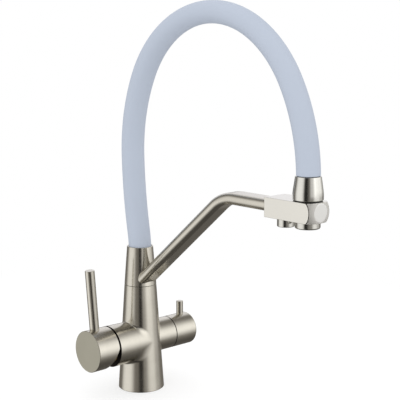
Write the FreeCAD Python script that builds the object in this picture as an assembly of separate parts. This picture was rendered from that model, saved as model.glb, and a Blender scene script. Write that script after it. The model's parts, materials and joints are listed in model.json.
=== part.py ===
import FreeCAD, Part
import math
import os

# A three-way kitchen mixer tap, in millimetres, +Z up.
# The origin is the centre of the base on the deck.
# +X is the way the spout arm points, -Y the mixer branch and +Y the filtered-water branch.

V = FreeCAD.Vector
X = V(1, 0, 0)
Y = V(0, 1, 0)
Z = V(0, 0, 1)

# Clearances
seat_gap = 0.3
seam_gap = 0.35
fit_gap = 0.05
run_gap = 0.08
over = 1.0

# Column and its hollow underside
base_r = 26.0
column_h = 120.6
column_top_r = 18.0
base_chamfer = 0.5
hollow_r = 20.5
hollow_h = 28.0
seal_wall = 2.2
seal_h = 2.0
seal_inset = 1.1

# Holes in the roof of the hollow underside
port_r = 5.0
port_depth = 10.0
supply_spread = 8.0
supply_back = 6.0
filtered_port_y = 12.5
supply_r = 3.0
filtered_r = 2.0
stud_r = 3.0
stud_spread = 13.0
stud_y = 9.0
stud_depth = 12.0

# Branches, both on one level axis
branch_z = 55.9
mixer_root_r = 22.2
mixer_r = 23.1
mixer_len = 45.8
valve_r = 18.5
valve_len = 38.65

# Swivel on top of the column
spigot_r = 10.5
spigot_bore_r = 5.0
spigot_depth = 20.8
riser_r = 1.6
riser_y = 7.7
bush_wall = 2.4
bush_h = 7.0
seal_land = 1.5
oring_groove = 0.9
oring_squeeze = 0.03
port_rise = 15.7
chamber_h = 4.0
shelf_rise = 29.4
upper_bush_h = 4.5
clip_t = 1.2
clip_groove = 0.6
clip_gap = 5.0
spigot_nose = 3.0

# Sleeve that turns on the swivel
sleeve_h = 43.55
sleeve_top_r = 14.6
mouth_gap = 0.85

# Flat-oval arm
arm_w = 25.0
arm_h = 12.0
arm_wall = 1.6
arm_slope = 39.8
arm_bend_r = 44.0
arm_end_z = 237.85
arm_drop = 1.8
arm_socket = 4.0

# Block at the end of the arm
block_len = 59.3
block_nose = 16.2
block_w = 29.2
block_h = 19.5
block_z = 227.4
block_turn_r = 18.1
block_end_round = 10.0
block_edge = 0.4
dock_x = 251.5
channel_r = 4.0

# Filtered-water outlet under the block
small_pitch = 28.0
small_r = 8.4
small_drop = 8.9
small_edge = 0.9
small_thread_r = 6.0
small_thread_h = 5.0
insert_t = 4.0
insert_recess = 0.8
gasket_t = 1.2

# Spray head docked in the block
outlet_r = 12.2
outlet_drop = 6.7
outlet_edge = 2.2
outlet_wall = 1.8
aerator_t = 8.0
bush_t = 0.8
bush_collar_t = 0.8
bush_collar_inset = 0.8
nozzle_r = 9.5
nozzle_bore_r = 5.2
nozzle_thread = 9.0
nozzle_collar = 1.8
nozzle_collar_h = 5.0
ferrule_r = 14.7
ferrule_h = 22.2
ferrule_straight = 2.7
ferrule_flare_r = 50.0
ferrule_edge = 0.6
ferrule_lip = 0.2
ferrule_floor = 4.0
ferrule_roof = 5.0

# Silicone hose and the water line in it
hose_r = 12.2
hose_bore_r = 7.3
line_r = 7.0
line_bore_r = 5.0
root_t = 3.6
root_tail = 8.0
root_nipple = 4.0

# Bends of the hose in order, with the heading that each one ends on
root_bend_r = 126.0
root_heading = -10.4
leg_bend_r = 551.0
leg_heading = -1.5
back_bend_r = 187.0
back_heading = 26.4
crown_bend_r = 122.0
crown_heading = 120.9
front_bend_r = 130.0
front_heading = 150.0
drop_bend_r = 186.0
drop_heading = 177.0
end_bend_r = 57.0

# Mixer cartridge
cartridge_r = 17.45
cartridge_len = 28.0
port_seal_t = 1.0
port_seal_w = 1.4
mixed_port_z = 9.0
nut_t = 5.4
nut_inset = 0.4
nut_bore_r = 12.4
rotor_r = 12.0
rotor_depth = 8.0
rotor_proud = 4.5
stem_r = 4.0
stem_in = 6.5
pivot_in = 3.5
slot_h = 7.6
slot_gap = 0.1
cross_pin_r = 1.5

# Mixer cap and lever
cap_gap = 1.9
cap_len = 27.1
cap_wall = 3.0
cap_end = 4.0
cap_slope = 25.0
cap_slope_rise = 3.5
cap_edge = 0.4
boss_r = 8.0
boss_len = 15.0
stem_bite = 12.0
lever_r = 5.3
lever_inset = 9.7
lever_slope = 4.34
lever_top = 90.7
lever_shank_r = 3.0
lever_bite = 5.0
grub_r = 2.5
grub_inset = 11.3

# Filtered-water valve
headwork_r = 10.1
headwork_inset = 1.85
headwork_len = 24.0
headwork_hex = 13.0
headwork_hex_h = 5.0
valve_seal_t = 0.8
spindle_r = 4.0
spindle_in = 9.0
valve_cap_len = 30.7
valve_cap_wall = 2.8
valve_cap_end = 4.0
valve_cap_edge = 2.2
valve_boss_r = 7.5
valve_boss_len = 18.0
spindle_bite = 9.3
valve_pin_r = 4.0
valve_pin_inset = 11.1
valve_pin_top = 34.0
valve_pin_shank_r = 2.5
valve_pin_bite = 4.5
valve_grub_r = 2.0
valve_grub_inset = 19.2
pin_edge = 0.5

# Heights and places that follow
sleeve_z = column_h + seam_gap
sleeve_top = sleeve_z + sleeve_h
arm_root_z = sleeve_z - arm_drop
spigot_z = column_h - spigot_depth
bush_top = column_h + bush_h
shelf_z = column_h + shelf_rise
port_z = column_h + port_rise
clip_top = shelf_z + clip_t
spigot_top = clip_top + spigot_nose
pocket_r = spigot_r + fit_gap + bush_wall + run_gap
land_r = spigot_r + seal_land
mouth_r = hose_r + mouth_gap
root_z = spigot_top + seat_gap
hose_z = root_z + root_t
block_x = dock_x + block_nose - block_len
small_x = dock_x - small_pitch
block_mid = block_z + block_h / 2
block_top = block_z + block_h
ferrule_z = block_top + bush_collar_t + seat_gap
ferrule_top = ferrule_z + ferrule_h
hose_end_z = ferrule_top + seat_gap
dock_bore_r = outlet_r + run_gap + bush_t + fit_gap
outlet_z = block_z - outlet_drop
small_z = block_z - small_drop
nozzle_z = ferrule_z - nozzle_thread
line_slack = hose_bore_r - line_r
cartridge_seat = mixer_len - nut_inset - nut_t - cartridge_len - port_seal_t
cartridge_in = cartridge_seat + port_seal_t
cartridge_out = cartridge_in + cartridge_len
nut_out = cartridge_out + nut_t
rotor_in = cartridge_out - rotor_depth
rotor_out = cartridge_out + rotor_proud
pivot_s = rotor_out - pivot_in
cap_in = mixer_len + cap_gap
cap_out = cap_in + cap_len
cap_bore_r = mixer_r - cap_wall
lever_s = cap_out - lever_inset
grub_s = cap_out - grub_inset
boss_in = cap_out - cap_end - boss_len
headwork_seat = valve_len - headwork_inset - headwork_len - valve_seal_t
headwork_in = headwork_seat + valve_seal_t
headwork_out = headwork_in + headwork_len
valve_cap_in = valve_len + seam_gap
valve_cap_out = valve_cap_in + valve_cap_len
valve_pin_s = valve_cap_out - valve_pin_inset
valve_grub_s = valve_cap_out - valve_grub_inset
valve_boss_in = valve_cap_out - valve_cap_end - valve_boss_len
hex_z = headwork_out - headwork_hex_h


def bar(r, start, end):
    """A round bar from one point to another."""
    run = end.sub(start)
    return Part.makeCylinder(r, run.Length, start, run)


def tube(r, bore_r, start, end):
    """A round tube from one point to another."""
    return bar(r, start, end).cut(bar(bore_r, start, end))


def up(z, x=0, y=0):
    """A point at height z, over the origin unless a place is given."""
    return V(x, y, z)


def mixer_at(s, x=0, rise=0):
    """A point s out along the mixer branch, beside or above its axis."""
    return V(x, -s, branch_z + rise)


def valve_at(s, x=0, rise=0):
    """A point s out along the filtered-water branch, beside or above its axis."""
    return V(x, s, branch_z + rise)


def soften(shape, size, at):
    """Rounds the full circles of a shape that at(edge) picks."""
    edges = [e for e in shape.Edges if isinstance(e.Curve, Part.Circle) and at(e)]
    return shape.makeFillet(size, edges)


def bevel(shape, size, at):
    """Chamfers the full circles of a shape that at(edge) picks."""
    edges = [e for e in shape.Edges if isinstance(e.Curve, Part.Circle) and at(e)]
    return shape.makeChamfer(size, edges)


def near(a, b):
    """True for two equal lengths."""
    return abs(a - b) < 1e-4


def sleeve_cone(grow=0.0):
    """The outer cone of the swivel sleeve, grown outwards if asked."""
    return Part.makeCone(column_top_r + grow, sleeve_top_r + grow, sleeve_h, up(sleeve_z))


def column_cone():
    """The plain cone of the column."""
    return Part.makeCone(base_r, column_top_r, column_h)


def make_body():
    """The column, bored out for the supplies, the spout, the cartridge and the valve."""
    shape = bevel(column_cone(), base_chamfer, lambda e: near(e.Curve.Radius, base_r))
    groove_r = hollow_r + seal_inset + seal_wall
    cuts = [
        bar(hollow_r, up(-over), up(hollow_h)),
        tube(groove_r + fit_gap, hollow_r + seal_inset - fit_gap, up(-over), up(seal_h)),
        bar(spigot_r + fit_gap, up(spigot_z), up(column_h + over)),
        bar(spigot_bore_r, up(branch_z + mixed_port_z), up(spigot_z + over)),
        bar(channel_r, mixer_at(0, rise=mixed_port_z), mixer_at(cartridge_seat + over, rise=mixed_port_z)),
        bar(cartridge_r + fit_gap, mixer_at(cartridge_seat), mixer_at(mixer_len + over)),
        bar(headwork_r + fit_gap, valve_at(headwork_seat), valve_at(valve_len + over)),
        bar(riser_r, up(branch_z, y=riser_y), up(spigot_z + over, y=riser_y)),
        bar(riser_r, valve_at(riser_y), valve_at(headwork_seat + over)),
        bar(port_r, up(hollow_h - over, y=filtered_port_y), up(hollow_h + port_depth, y=filtered_port_y)),
        bar(filtered_r, up(hollow_h, y=filtered_port_y), up(branch_z, y=filtered_port_y)),
    ]
    for side in (-1, 1):
        x = side * supply_spread
        cuts.append(bar(port_r, up(hollow_h - over, x, -supply_back), up(hollow_h + port_depth, x, -supply_back)))
        cuts.append(bar(supply_r, up(hollow_h, x, -supply_back), up(branch_z, x, -supply_back)))
        cuts.append(bar(supply_r, mixer_at(supply_back, x), mixer_at(cartridge_seat + over, x)))
        x = side * stud_spread
        cuts.append(bar(stud_r, up(hollow_h - over, x, stud_y), up(hollow_h + stud_depth, x, stud_y)))
    for cut in cuts:
        shape = shape.cut(cut)
    return shape


def make_mixer_housing():
    """The left branch, slightly flared, coped and brazed to the column, which holds the cartridge."""
    shape = Part.makeCone(mixer_root_r, mixer_r, mixer_len, mixer_at(0), V(0, -1, 0))
    shape = shape.cut(column_cone())
    return shape.cut(bar(cartridge_r + fit_gap, mixer_at(0), mixer_at(mixer_len + over)))


def make_valve_housing():
    """The right branch, coped and brazed to the column, which holds the valve."""
    shape = bar(valve_r, valve_at(0), valve_at(valve_len)).cut(column_cone())
    shape = shape.cut(bar(headwork_r + fit_gap, valve_at(0), valve_at(valve_len + over)))
    return shape.cut(bar(headwork_hex + seat_gap, valve_at(hex_z), valve_at(valve_len + over)))


def make_base_seal():
    """The ring that seals the base to the deck."""
    inner = hollow_r + seal_inset
    return tube(inner + seal_wall, inner, up(0), up(seal_h))


def make_spigot():
    """The fixed core of the swivel, with the two waterways and the seal grooves."""
    shape = bar(spigot_r, up(spigot_z), up(spigot_top))
    groove_r = spigot_r - oring_groove
    half = oring_half()
    cuts = [
        bar(spigot_bore_r, up(spigot_z - over), up(spigot_top + over)),
        bar(riser_r, up(spigot_z - over, y=riser_y), up(port_z, y=riser_y)),
        bar(riser_r, up(port_z, y=riser_y), up(port_z, y=spigot_r + over)),
        tube(spigot_r + over, groove_r, up(port_z - chamber_h / 2), up(port_z + chamber_h / 2)),
        tube(spigot_r + over, spigot_r - clip_groove, up(shelf_z), up(clip_top + fit_gap)),
    ]
    for z in oring_levels():
        cuts.append(tube(spigot_r + over, groove_r, up(z - half - fit_gap), up(z + half + fit_gap)))
    for cut in cuts:
        shape = shape.cut(cut)
    return shape


def oring_half():
    """Half the thickness of a swivel O-ring, which fills its groove up to the sleeve."""
    return (seal_land + oring_groove) / 2 - oring_squeeze


def oring_levels():
    """Heights of the two O-rings, either side of the filtered-water chamber."""
    step = chamber_h / 2 + 2 * oring_half()
    return (port_z - step, port_z + step)


def make_oring(z):
    """One O-ring of the swivel."""
    middle = spigot_r - oring_groove + oring_squeeze + oring_half()
    return Part.makeTorus(middle, oring_half(), up(z))


def make_lower_bush():
    """The plain bearing that the sleeve stands on."""
    inner = spigot_r + fit_gap
    return tube(inner + bush_wall, inner, up(column_h), up(bush_top))


def make_upper_bush():
    """The thin bearing under the sleeve's inner shelf."""
    return tube(land_r - run_gap, spigot_r + fit_gap, up(shelf_z - upper_bush_h), up(shelf_z - fit_gap))


def make_clip():
    """The open ring that holds the sleeve down."""
    ring = tube(mouth_r - run_gap * 4, spigot_r - clip_groove + fit_gap, up(shelf_z + fit_gap), up(clip_top))
    slot = Part.makeBox(mouth_r + over, clip_gap, clip_t + over, V(0, -clip_gap / 2, shelf_z))
    return ring.cut(slot)


def make_sleeve():
    """The conical sleeve, with the bearing pocket, the sealed land and the mouth for the hose."""
    shape = sleeve_cone()
    cuts = [
        bar(pocket_r, up(sleeve_z - over), up(bush_top + seat_gap)),
        bar(land_r, up(sleeve_z), up(shelf_z)),
        bar(mouth_r, up(shelf_z), up(sleeve_top + over)),
        bar(channel_r / 2, up(port_z), up(port_z, x=column_top_r + over)),
    ]
    for cut in cuts:
        shape = shape.cut(cut)
    return shape


def flat_oval(w, h, at, normal):
    """A flat-oval face, w wide along Y and h thick, square to normal."""
    thick = normal.cross(Y)
    thick.normalize()
    half = w / 2 - h / 2
    rise = V(thick).multiply(h / 2)
    near_y = V(Y).multiply(-half)
    far_y = V(Y).multiply(half)
    a = at.add(near_y).add(rise)
    b = at.add(far_y).add(rise)
    c = at.add(far_y).sub(rise)
    d = at.add(near_y).sub(rise)
    far_tip = at.add(V(Y).multiply(w / 2))
    near_tip = at.sub(V(Y).multiply(w / 2))
    edges = [
        Part.LineSegment(a, b).toShape(),
        Part.Arc(b, far_tip, c).toShape(),
        Part.LineSegment(c, d).toShape(),
        Part.Arc(d, near_tip, a).toShape(),
    ]
    return Part.Face(Part.Wire(edges))


def arm_solid(w, h):
    """A flat-oval bar up the slope, round the bend and level into the block."""
    slope = math.radians(arm_slope)
    along = V(math.cos(slope), 0, math.sin(slope))
    corner = V((arm_end_z - arm_root_z) / math.tan(slope), 0, arm_end_z)
    tangent = arm_bend_r * math.tan(slope / 2)
    start = V(along).multiply(column_top_r * 0.6).add(up(arm_root_z))
    bend_start = corner.sub(V(along).multiply(tangent))
    bend_end = corner.add(V(tangent, 0, 0))
    end = up(arm_end_z, x=block_x + arm_socket)
    centre = bend_end.sub(V(0, 0, arm_bend_r))
    rise = flat_oval(w, h, start, along).extrude(bend_start.sub(start))
    turn = flat_oval(w, h, bend_start, along).revolve(centre, Y, arm_slope)
    level = flat_oval(w, h, bend_end, X).extrude(end.sub(bend_end))
    return rise.fuse([turn, level])


def make_arm():
    """The hollow arm, coped to the sleeve."""
    hollow = arm_solid(arm_w - 2 * arm_wall, arm_h - 2 * arm_wall)
    return arm_solid(arm_w, arm_h).cut(hollow).cut(sleeve_cone())


def make_block():
    """The outlet block: square bar with a turned, rounded and faced end, bored for both outlets."""
    blank = Part.makeBox(block_len, block_w, block_h, V(block_x, -block_w / 2, block_z))
    lasting = [e for e in blank.Edges if e.BoundBox.XMax < block_x + over or e.BoundBox.XLength > over]
    blank = blank.makeFillet(block_edge, lasting)
    block_end = block_x + block_len
    turned = bar(block_turn_r, up(block_mid, x=block_x - over), up(block_mid, x=block_end))
    turned = soften(turned, block_end_round, lambda e: near(e.CenterOfMass.x, block_end))
    shape = blank.common(turned)
    end_x = small_x + channel_r
    cuts = [
        bar(dock_bore_r, up(block_z - over, x=dock_x), up(block_top + over, x=dock_x)),
        bar(small_thread_r + fit_gap, up(block_z - over, x=small_x), up(block_z + small_thread_h, x=small_x)),
        bar(channel_r, up(block_z, x=small_x), up(block_mid, x=small_x)),
        bar(channel_r, up(block_mid, x=block_x), up(block_mid, x=end_x)),
        flat_oval(arm_w + 2 * fit_gap, arm_h + 2 * fit_gap, up(arm_end_z, x=block_x - over), X).extrude(
            V(arm_socket + over, 0, 0)
        ),
    ]
    for cut in cuts:
        shape = shape.cut(cut)
    return shape


def make_dock_bush():
    """The plastic liner that the spray head slides in, with the collar that its ferrule comes down on."""
    inner = outlet_r + run_gap
    liner = tube(inner + bush_t, inner, up(block_z + seat_gap, x=dock_x), up(block_top, x=dock_x))
    collar_top = up(block_top + bush_collar_t, x=dock_x)
    return liner.fuse(tube(ferrule_r - bush_collar_inset, inner, up(block_top, x=dock_x), collar_top))


def make_small_outlet():
    """The filtered-water outlet, screwed into the block from below."""
    bottom = up(small_z, x=small_x)
    shape = bar(small_r, bottom, up(block_z, x=small_x))
    shape = soften(shape, small_edge, lambda e: near(e.CenterOfMass.z, small_z))
    shape = shape.fuse(bar(small_thread_r, up(block_z, x=small_x), up(block_z + small_thread_h, x=small_x)))
    shape = shape.cut(bar(channel_r, bottom, up(block_z + small_thread_h, x=small_x)))
    pocket = small_z + insert_recess + insert_t + gasket_t
    return shape.cut(bar(small_thread_r, up(small_z - over, x=small_x), up(pocket, x=small_x)))


def holes_in_rings(shape, r, centre, low, high, counts, pitch):
    """Drills a middle hole and rings of holes, each ring one pitch further out."""
    shape = shape.cut(bar(r, centre.add(up(low)), centre.add(up(high))))
    for ring, count in enumerate(counts, start=1):
        for i in range(count):
            angle = 2 * math.pi * i / count
            at = centre.add(V(ring * pitch * math.cos(angle), ring * pitch * math.sin(angle), 0))
            shape = shape.cut(bar(r, at.add(up(low)), at.add(up(high))))
    return shape


def make_small_insert():
    """The flow straightener of the filtered-water outlet."""
    low = small_z + insert_recess
    shape = bar(small_thread_r - fit_gap, up(low, x=small_x), up(low + insert_t, x=small_x))
    return holes_in_rings(shape, small_thread_r / 9, V(small_x, 0, 0), low, low + insert_t, (6, 12), small_thread_r / 3)


def make_small_gasket():
    """The gasket above the flow straightener."""
    low = small_z + insert_recess + insert_t
    return tube(small_thread_r - fit_gap, channel_r, up(low, x=small_x), up(low + gasket_t, x=small_x))


def make_outlet():
    """The ring of the mixed-water outlet, which reaches up through the block."""
    shape = bar(outlet_r, up(outlet_z, x=dock_x), up(ferrule_z, x=dock_x))
    shape = soften(shape, outlet_edge, lambda e: near(e.CenterOfMass.z, outlet_z))
    pocket_top = outlet_z + insert_recess + aerator_t + gasket_t
    cuts = [
        bar(outlet_r - outlet_wall, up(outlet_z - over, x=dock_x), up(pocket_top, x=dock_x)),
        bar(nozzle_bore_r, up(outlet_z, x=dock_x), up(ferrule_z + over, x=dock_x)),
        bar(nozzle_r + fit_gap, up(nozzle_z, x=dock_x), up(ferrule_z + over, x=dock_x)),
    ]
    for cut in cuts:
        shape = shape.cut(cut)
    return shape


def make_aerator():
    """The aerator, a drilled plastic insert."""
    low = outlet_z + insert_recess
    r = outlet_r - outlet_wall - fit_gap
    shape = bar(r, up(low, x=dock_x), up(low + aerator_t, x=dock_x))
    return holes_in_rings(shape, r / 12, V(dock_x, 0, 0), low, low + aerator_t, (6, 12, 18), r / 4)


def make_aerator_gasket():
    """The gasket above the aerator."""
    low = outlet_z + insert_recess + aerator_t
    r = outlet_r - outlet_wall - fit_gap
    return tube(r, nozzle_bore_r, up(low, x=dock_x), up(low + gasket_t, x=dock_x))


def make_nozzle():
    """The threaded core that joins the outlet ring to the ferrule and takes the water line."""
    shape = bar(nozzle_r, up(nozzle_z, x=dock_x), up(ferrule_top - ferrule_roof, x=dock_x))
    low = ferrule_z + ferrule_floor
    collar = bar(nozzle_r + nozzle_collar, up(low, x=dock_x), up(low + nozzle_collar_h, x=dock_x))
    shape = shape.fuse(collar)
    return shape.cut(bar(line_bore_r, up(nozzle_z - over, x=dock_x), up(ferrule_top, x=dock_x)))


def make_ferrule():
    """The flared ferrule between the hose and the block."""
    top_r = hose_r + ferrule_lip
    shrink = ferrule_r - top_r
    tall = ferrule_h - ferrule_straight
    angle = math.atan2(tall, ferrule_flare_r - shrink)
    angle -= math.acos(ferrule_flare_r / math.hypot(ferrule_flare_r - shrink, tall))
    low = ferrule_z + ferrule_straight
    centre_r = ferrule_r - ferrule_flare_r
    mid = V(centre_r + ferrule_flare_r * math.cos(angle / 2), 0, low + ferrule_flare_r * math.sin(angle / 2))
    flare_end = V(centre_r + ferrule_flare_r * math.cos(angle), 0, low + ferrule_flare_r * math.sin(angle))
    foot = V(ferrule_r - ferrule_edge, 0, ferrule_z)
    heel = V(ferrule_r, 0, ferrule_z + ferrule_edge)
    curl = ferrule_edge * math.sqrt(0.5)
    round_mid = V(ferrule_r - ferrule_edge + curl, 0, ferrule_z + ferrule_edge - curl)
    edges = [
        Part.LineSegment(up(ferrule_z), foot).toShape(),
        Part.Arc(foot, round_mid, heel).toShape(),
        Part.LineSegment(heel, V(ferrule_r, 0, low)).toShape(),
        Part.Arc(V(ferrule_r, 0, low), mid, flare_end).toShape(),
        Part.LineSegment(flare_end, V(top_r, 0, ferrule_top)).toShape(),
        Part.LineSegment(V(top_r, 0, ferrule_top), up(ferrule_top)).toShape(),
        Part.LineSegment(up(ferrule_top), up(ferrule_z)).toShape(),
    ]
    shape = Part.Face(Part.Wire(edges)).revolve(V(0, 0, 0), Z, 360)
    shape.translate(V(dock_x, 0, 0))
    roof = ferrule_top - ferrule_roof
    pocket_low = ferrule_z + ferrule_floor
    pocket_high = pocket_low + nozzle_collar_h
    cuts = [
        bar(nozzle_r + fit_gap, up(ferrule_z - over, x=dock_x), up(roof, x=dock_x)),
        bar(nozzle_r + nozzle_collar + fit_gap, up(pocket_low, x=dock_x), up(pocket_high, x=dock_x)),
        bar(line_bore_r, up(ferrule_z, x=dock_x), up(ferrule_top + over, x=dock_x)),
    ]
    for cut in cuts:
        shape = shape.cut(cut)
    return shape


def heading(degrees):
    """The unit vector in the XZ plane that is turned from +Z towards +X."""
    angle = math.radians(degrees)
    return V(math.sin(angle), 0, math.cos(angle))


def hose_route():
    """Stretches of the hose's centreline: start, heading, turn, and the bend radius or straight length.

    All bends are scaled together, so that the hose comes down straight over the dock. The shorter leg
    is then lengthened by a straight run, so that it ends on the ferrule.
    """
    bends = (
        (root_bend_r, root_heading),
        (leg_bend_r, leg_heading),
        (back_bend_r, back_heading),
        (crown_bend_r, crown_heading),
        (front_bend_r, front_heading),
        (drop_bend_r, drop_heading),
        (end_bend_r, 180.0),
    )
    reach = 0.0
    climb = 0.0
    last = 0.0
    for r, to in bends:
        side = math.copysign(1, to - last)
        reach += side * r * (heading(last).z - heading(to).z)
        climb += side * r * (heading(to).x - heading(last).x)
        last = to
    scale = dock_x / reach
    spare = hose_z + climb * scale - hose_end_z
    route = []
    at = up(hose_z)
    if spare < 0:
        route.append((at, 0.0, 0.0, -spare))
        at = at.add(up(-spare))
    last = 0.0
    for r, to in bends:
        side = math.copysign(1, to - last)
        route.append((at, last, to - last, r * scale))
        centre = at.add(heading(last + 90 * side).multiply(r * scale))
        at = centre.sub(heading(to + 90 * side).multiply(r * scale))
        last = to
    if spare > 0:
        route.append((at, 180.0, 0.0, spare))
    return route


def hose_parts(fixed):
    """The stretches of the route that stay with the spout, or those that flex as the head lifts."""
    route = hose_route()
    split = next(i for i, part in enumerate(route) if near(part[1], crown_heading))
    return route[:split] if fixed else route[split:]


def hose_solid(r, bore_r, fixed):
    """A tube along one part of the hose's route."""
    solids = []
    for at, start, turn, size in hose_parts(fixed):
        section = Part.Face(Part.Wire(Part.makeCircle(r, at, heading(start))))
        section = section.cut(Part.Face(Part.Wire(Part.makeCircle(bore_r, at, heading(start))))).Faces[0]
        if turn:
            side = math.copysign(1, turn)
            centre = at.add(heading(start + 90 * side).multiply(size))
            solids.append(section.revolve(centre, Y, turn))
        else:
            solids.append(section.extrude(heading(start).multiply(size)))
    shape = solids[0]
    if len(solids) > 1:
        shape = shape.fuse(solids[1:])
    return shape


def make_hose_root():
    """The fitting in the sleeve's mouth that carries the hose and the water line."""
    shape = bar(mouth_r - fit_gap, up(root_z), up(hose_z))
    tail_r = spigot_bore_r - oring_groove
    shape = shape.fuse(bar(tail_r, up(root_z - root_tail), up(root_z)))
    shape = shape.fuse(bar(line_bore_r - seat_gap, up(hose_z), up(hose_z + root_nipple)))
    bore_r = tail_r - 1.2
    return shape.cut(bar(bore_r, up(root_z - root_tail - over), up(hose_z + root_nipple + over)))


def make_root_seal():
    """The O-ring between the hose fitting and the swivel's bore."""
    half = (oring_groove - run_gap) / 2
    return Part.makeTorus(spigot_bore_r - run_gap - half, half - 0.01, up(root_z - root_tail / 2))


def make_cartridge():
    """The ceramic-disc cartridge, with its two supply holes and its mixed-water hole."""
    shape = bar(cartridge_r, mixer_at(cartridge_in), mixer_at(cartridge_out))
    shape = shape.cut(bar(rotor_r + fit_gap, mixer_at(rotor_in - fit_gap), mixer_at(cartridge_out + over)))
    for x, rise in port_places():
        shape = shape.cut(bar(supply_r, mixer_at(cartridge_in - over, x, rise), mixer_at(rotor_in, x, rise)))
    return shape


def port_places():
    """Places of the three water holes on the cartridge's inner face."""
    return ((-supply_spread, 0), (supply_spread, 0), (0, mixed_port_z))


def make_cartridge_seals():
    """One seal round each water hole of the cartridge."""
    rings = []
    for x, rise in port_places():
        rings.append(
            tube(
                channel_r + port_seal_w,
                channel_r,
                mixer_at(cartridge_seat, x, rise),
                mixer_at(cartridge_in, x, rise),
            )
        )
    return Part.makeCompound(rings)


def make_cartridge_nut():
    """The threaded ring that holds the cartridge in its branch."""
    return tube(cartridge_r, nut_bore_r, mixer_at(cartridge_out), mixer_at(nut_out))


def make_rotor():
    """The turning part of the cartridge, slotted for the stem."""
    shape = bar(rotor_r, mixer_at(rotor_in), mixer_at(rotor_out))
    half = stem_r + slot_gap
    slot = Part.makeBox(
        2 * half, rotor_out - rotor_in, 2 * slot_h, V(-half, -rotor_out - over, branch_z - slot_h)
    )
    shape = shape.cut(slot)
    return shape.cut(bar(cross_pin_r, mixer_at(pivot_s, -rotor_r), mixer_at(pivot_s, rotor_r)))


def make_cross_pin():
    """The pin that the stem tilts on."""
    end = math.sqrt(rotor_r**2 - cross_pin_r**2) - fit_gap
    return bar(cross_pin_r, mixer_at(pivot_s, -end), mixer_at(pivot_s, end))


def make_stem():
    """The stem between the cartridge and the lever cap."""
    shape = bar(stem_r, mixer_at(pivot_s - stem_in), mixer_at(boss_in + stem_bite))
    hole = bar(cross_pin_r + fit_gap, mixer_at(pivot_s, -stem_r - over), mixer_at(pivot_s, stem_r + over))
    return shape.cut(hole)


def make_mixer_cap():
    """The lever cap: a cup with a boss, its lower rear edge cut back so that it can tilt."""
    shape = bar(mixer_r, mixer_at(cap_in), mixer_at(cap_out))
    shape = bevel(shape, cap_edge, lambda e: near(e.CenterOfMass.y, -cap_out))
    shape = shape.cut(bar(cap_bore_r, mixer_at(cap_in - over), mixer_at(cap_out - cap_end)))
    shape = shape.fuse(bar(boss_r, mixer_at(boss_in), mixer_at(cap_out - cap_end)))
    shape = shape.cut(bar(stem_r + fit_gap, mixer_at(boss_in - over), mixer_at(boss_in + stem_bite)))
    shape = shape.cut(bar(grub_r + fit_gap, mixer_at(grub_s, rise=-mixer_r - over), mixer_at(grub_s)))
    shape = shape.cut(lever_bar(lever_r + fit_gap, boss_r, mixer_r + 2 * over))
    shape = shape.cut(lever_bar(lever_shank_r + fit_gap, lever_bite, boss_r + over))
    deep = mixer_r + over
    back = (deep + cap_slope_rise) * math.tan(math.radians(cap_slope))
    corners = [
        mixer_at(cap_in - over, -deep, cap_slope_rise),
        mixer_at(cap_in, -deep, cap_slope_rise),
        mixer_at(cap_in + back, -deep, -deep),
        mixer_at(cap_in - over, -deep, -deep),
    ]
    wedge = Part.Face(Part.makePolygon(corners + corners[:1])).extrude(V(2 * deep, 0, 0))
    return shape.cut(wedge)


def lever_bar(r, low, high):
    """A round bar on the lever's leaning axis, between two heights over the branch axis."""
    lean = math.tan(math.radians(lever_slope))
    foot = lever_s - lean * mixer_r
    return bar(r, mixer_at(foot + lean * low, rise=low), mixer_at(foot + lean * high, rise=high))


def make_lever():
    """The lever pin, screwed into the boss of its cap."""
    shape = lever_bar(lever_r, boss_r + seat_gap, lever_top)
    top_z = branch_z + lever_top - lever_r
    shape = bevel(shape, pin_edge, lambda e: e.CenterOfMass.z > top_z)
    return shape.fuse(lever_bar(lever_shank_r, lever_bite + seat_gap, boss_r + over))


def make_mixer_grub():
    """The set screw that holds the lever cap on its stem."""
    return bar(grub_r, mixer_at(grub_s, rise=-boss_r), mixer_at(grub_s, rise=-stem_r))


def make_headwork():
    """The body of the quarter-turn valve, with its hexagon."""
    shape = bar(headwork_r, valve_at(headwork_in), valve_at(headwork_out))
    corners = []
    for i in range(7):
        angle = math.radians(60 * i)
        corners.append(valve_at(hex_z, headwork_hex * math.cos(angle), headwork_hex * math.sin(angle)))
    hexagon = Part.Face(Part.makePolygon(corners)).extrude(V(0, headwork_hex_h, 0))
    shape = shape.fuse(hexagon)
    return shape.cut(bar(spindle_r + run_gap, valve_at(headwork_out - spindle_in), valve_at(headwork_out + over)))


def make_valve_seal():
    """The seal at the inner end of the valve."""
    return tube(headwork_r - fit_gap, headwork_r * 0.6, valve_at(headwork_seat), valve_at(headwork_in))


def make_spindle():
    """The valve's spindle."""
    return bar(spindle_r, valve_at(headwork_out - spindle_in + seat_gap), valve_at(valve_boss_in + spindle_bite))


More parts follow.
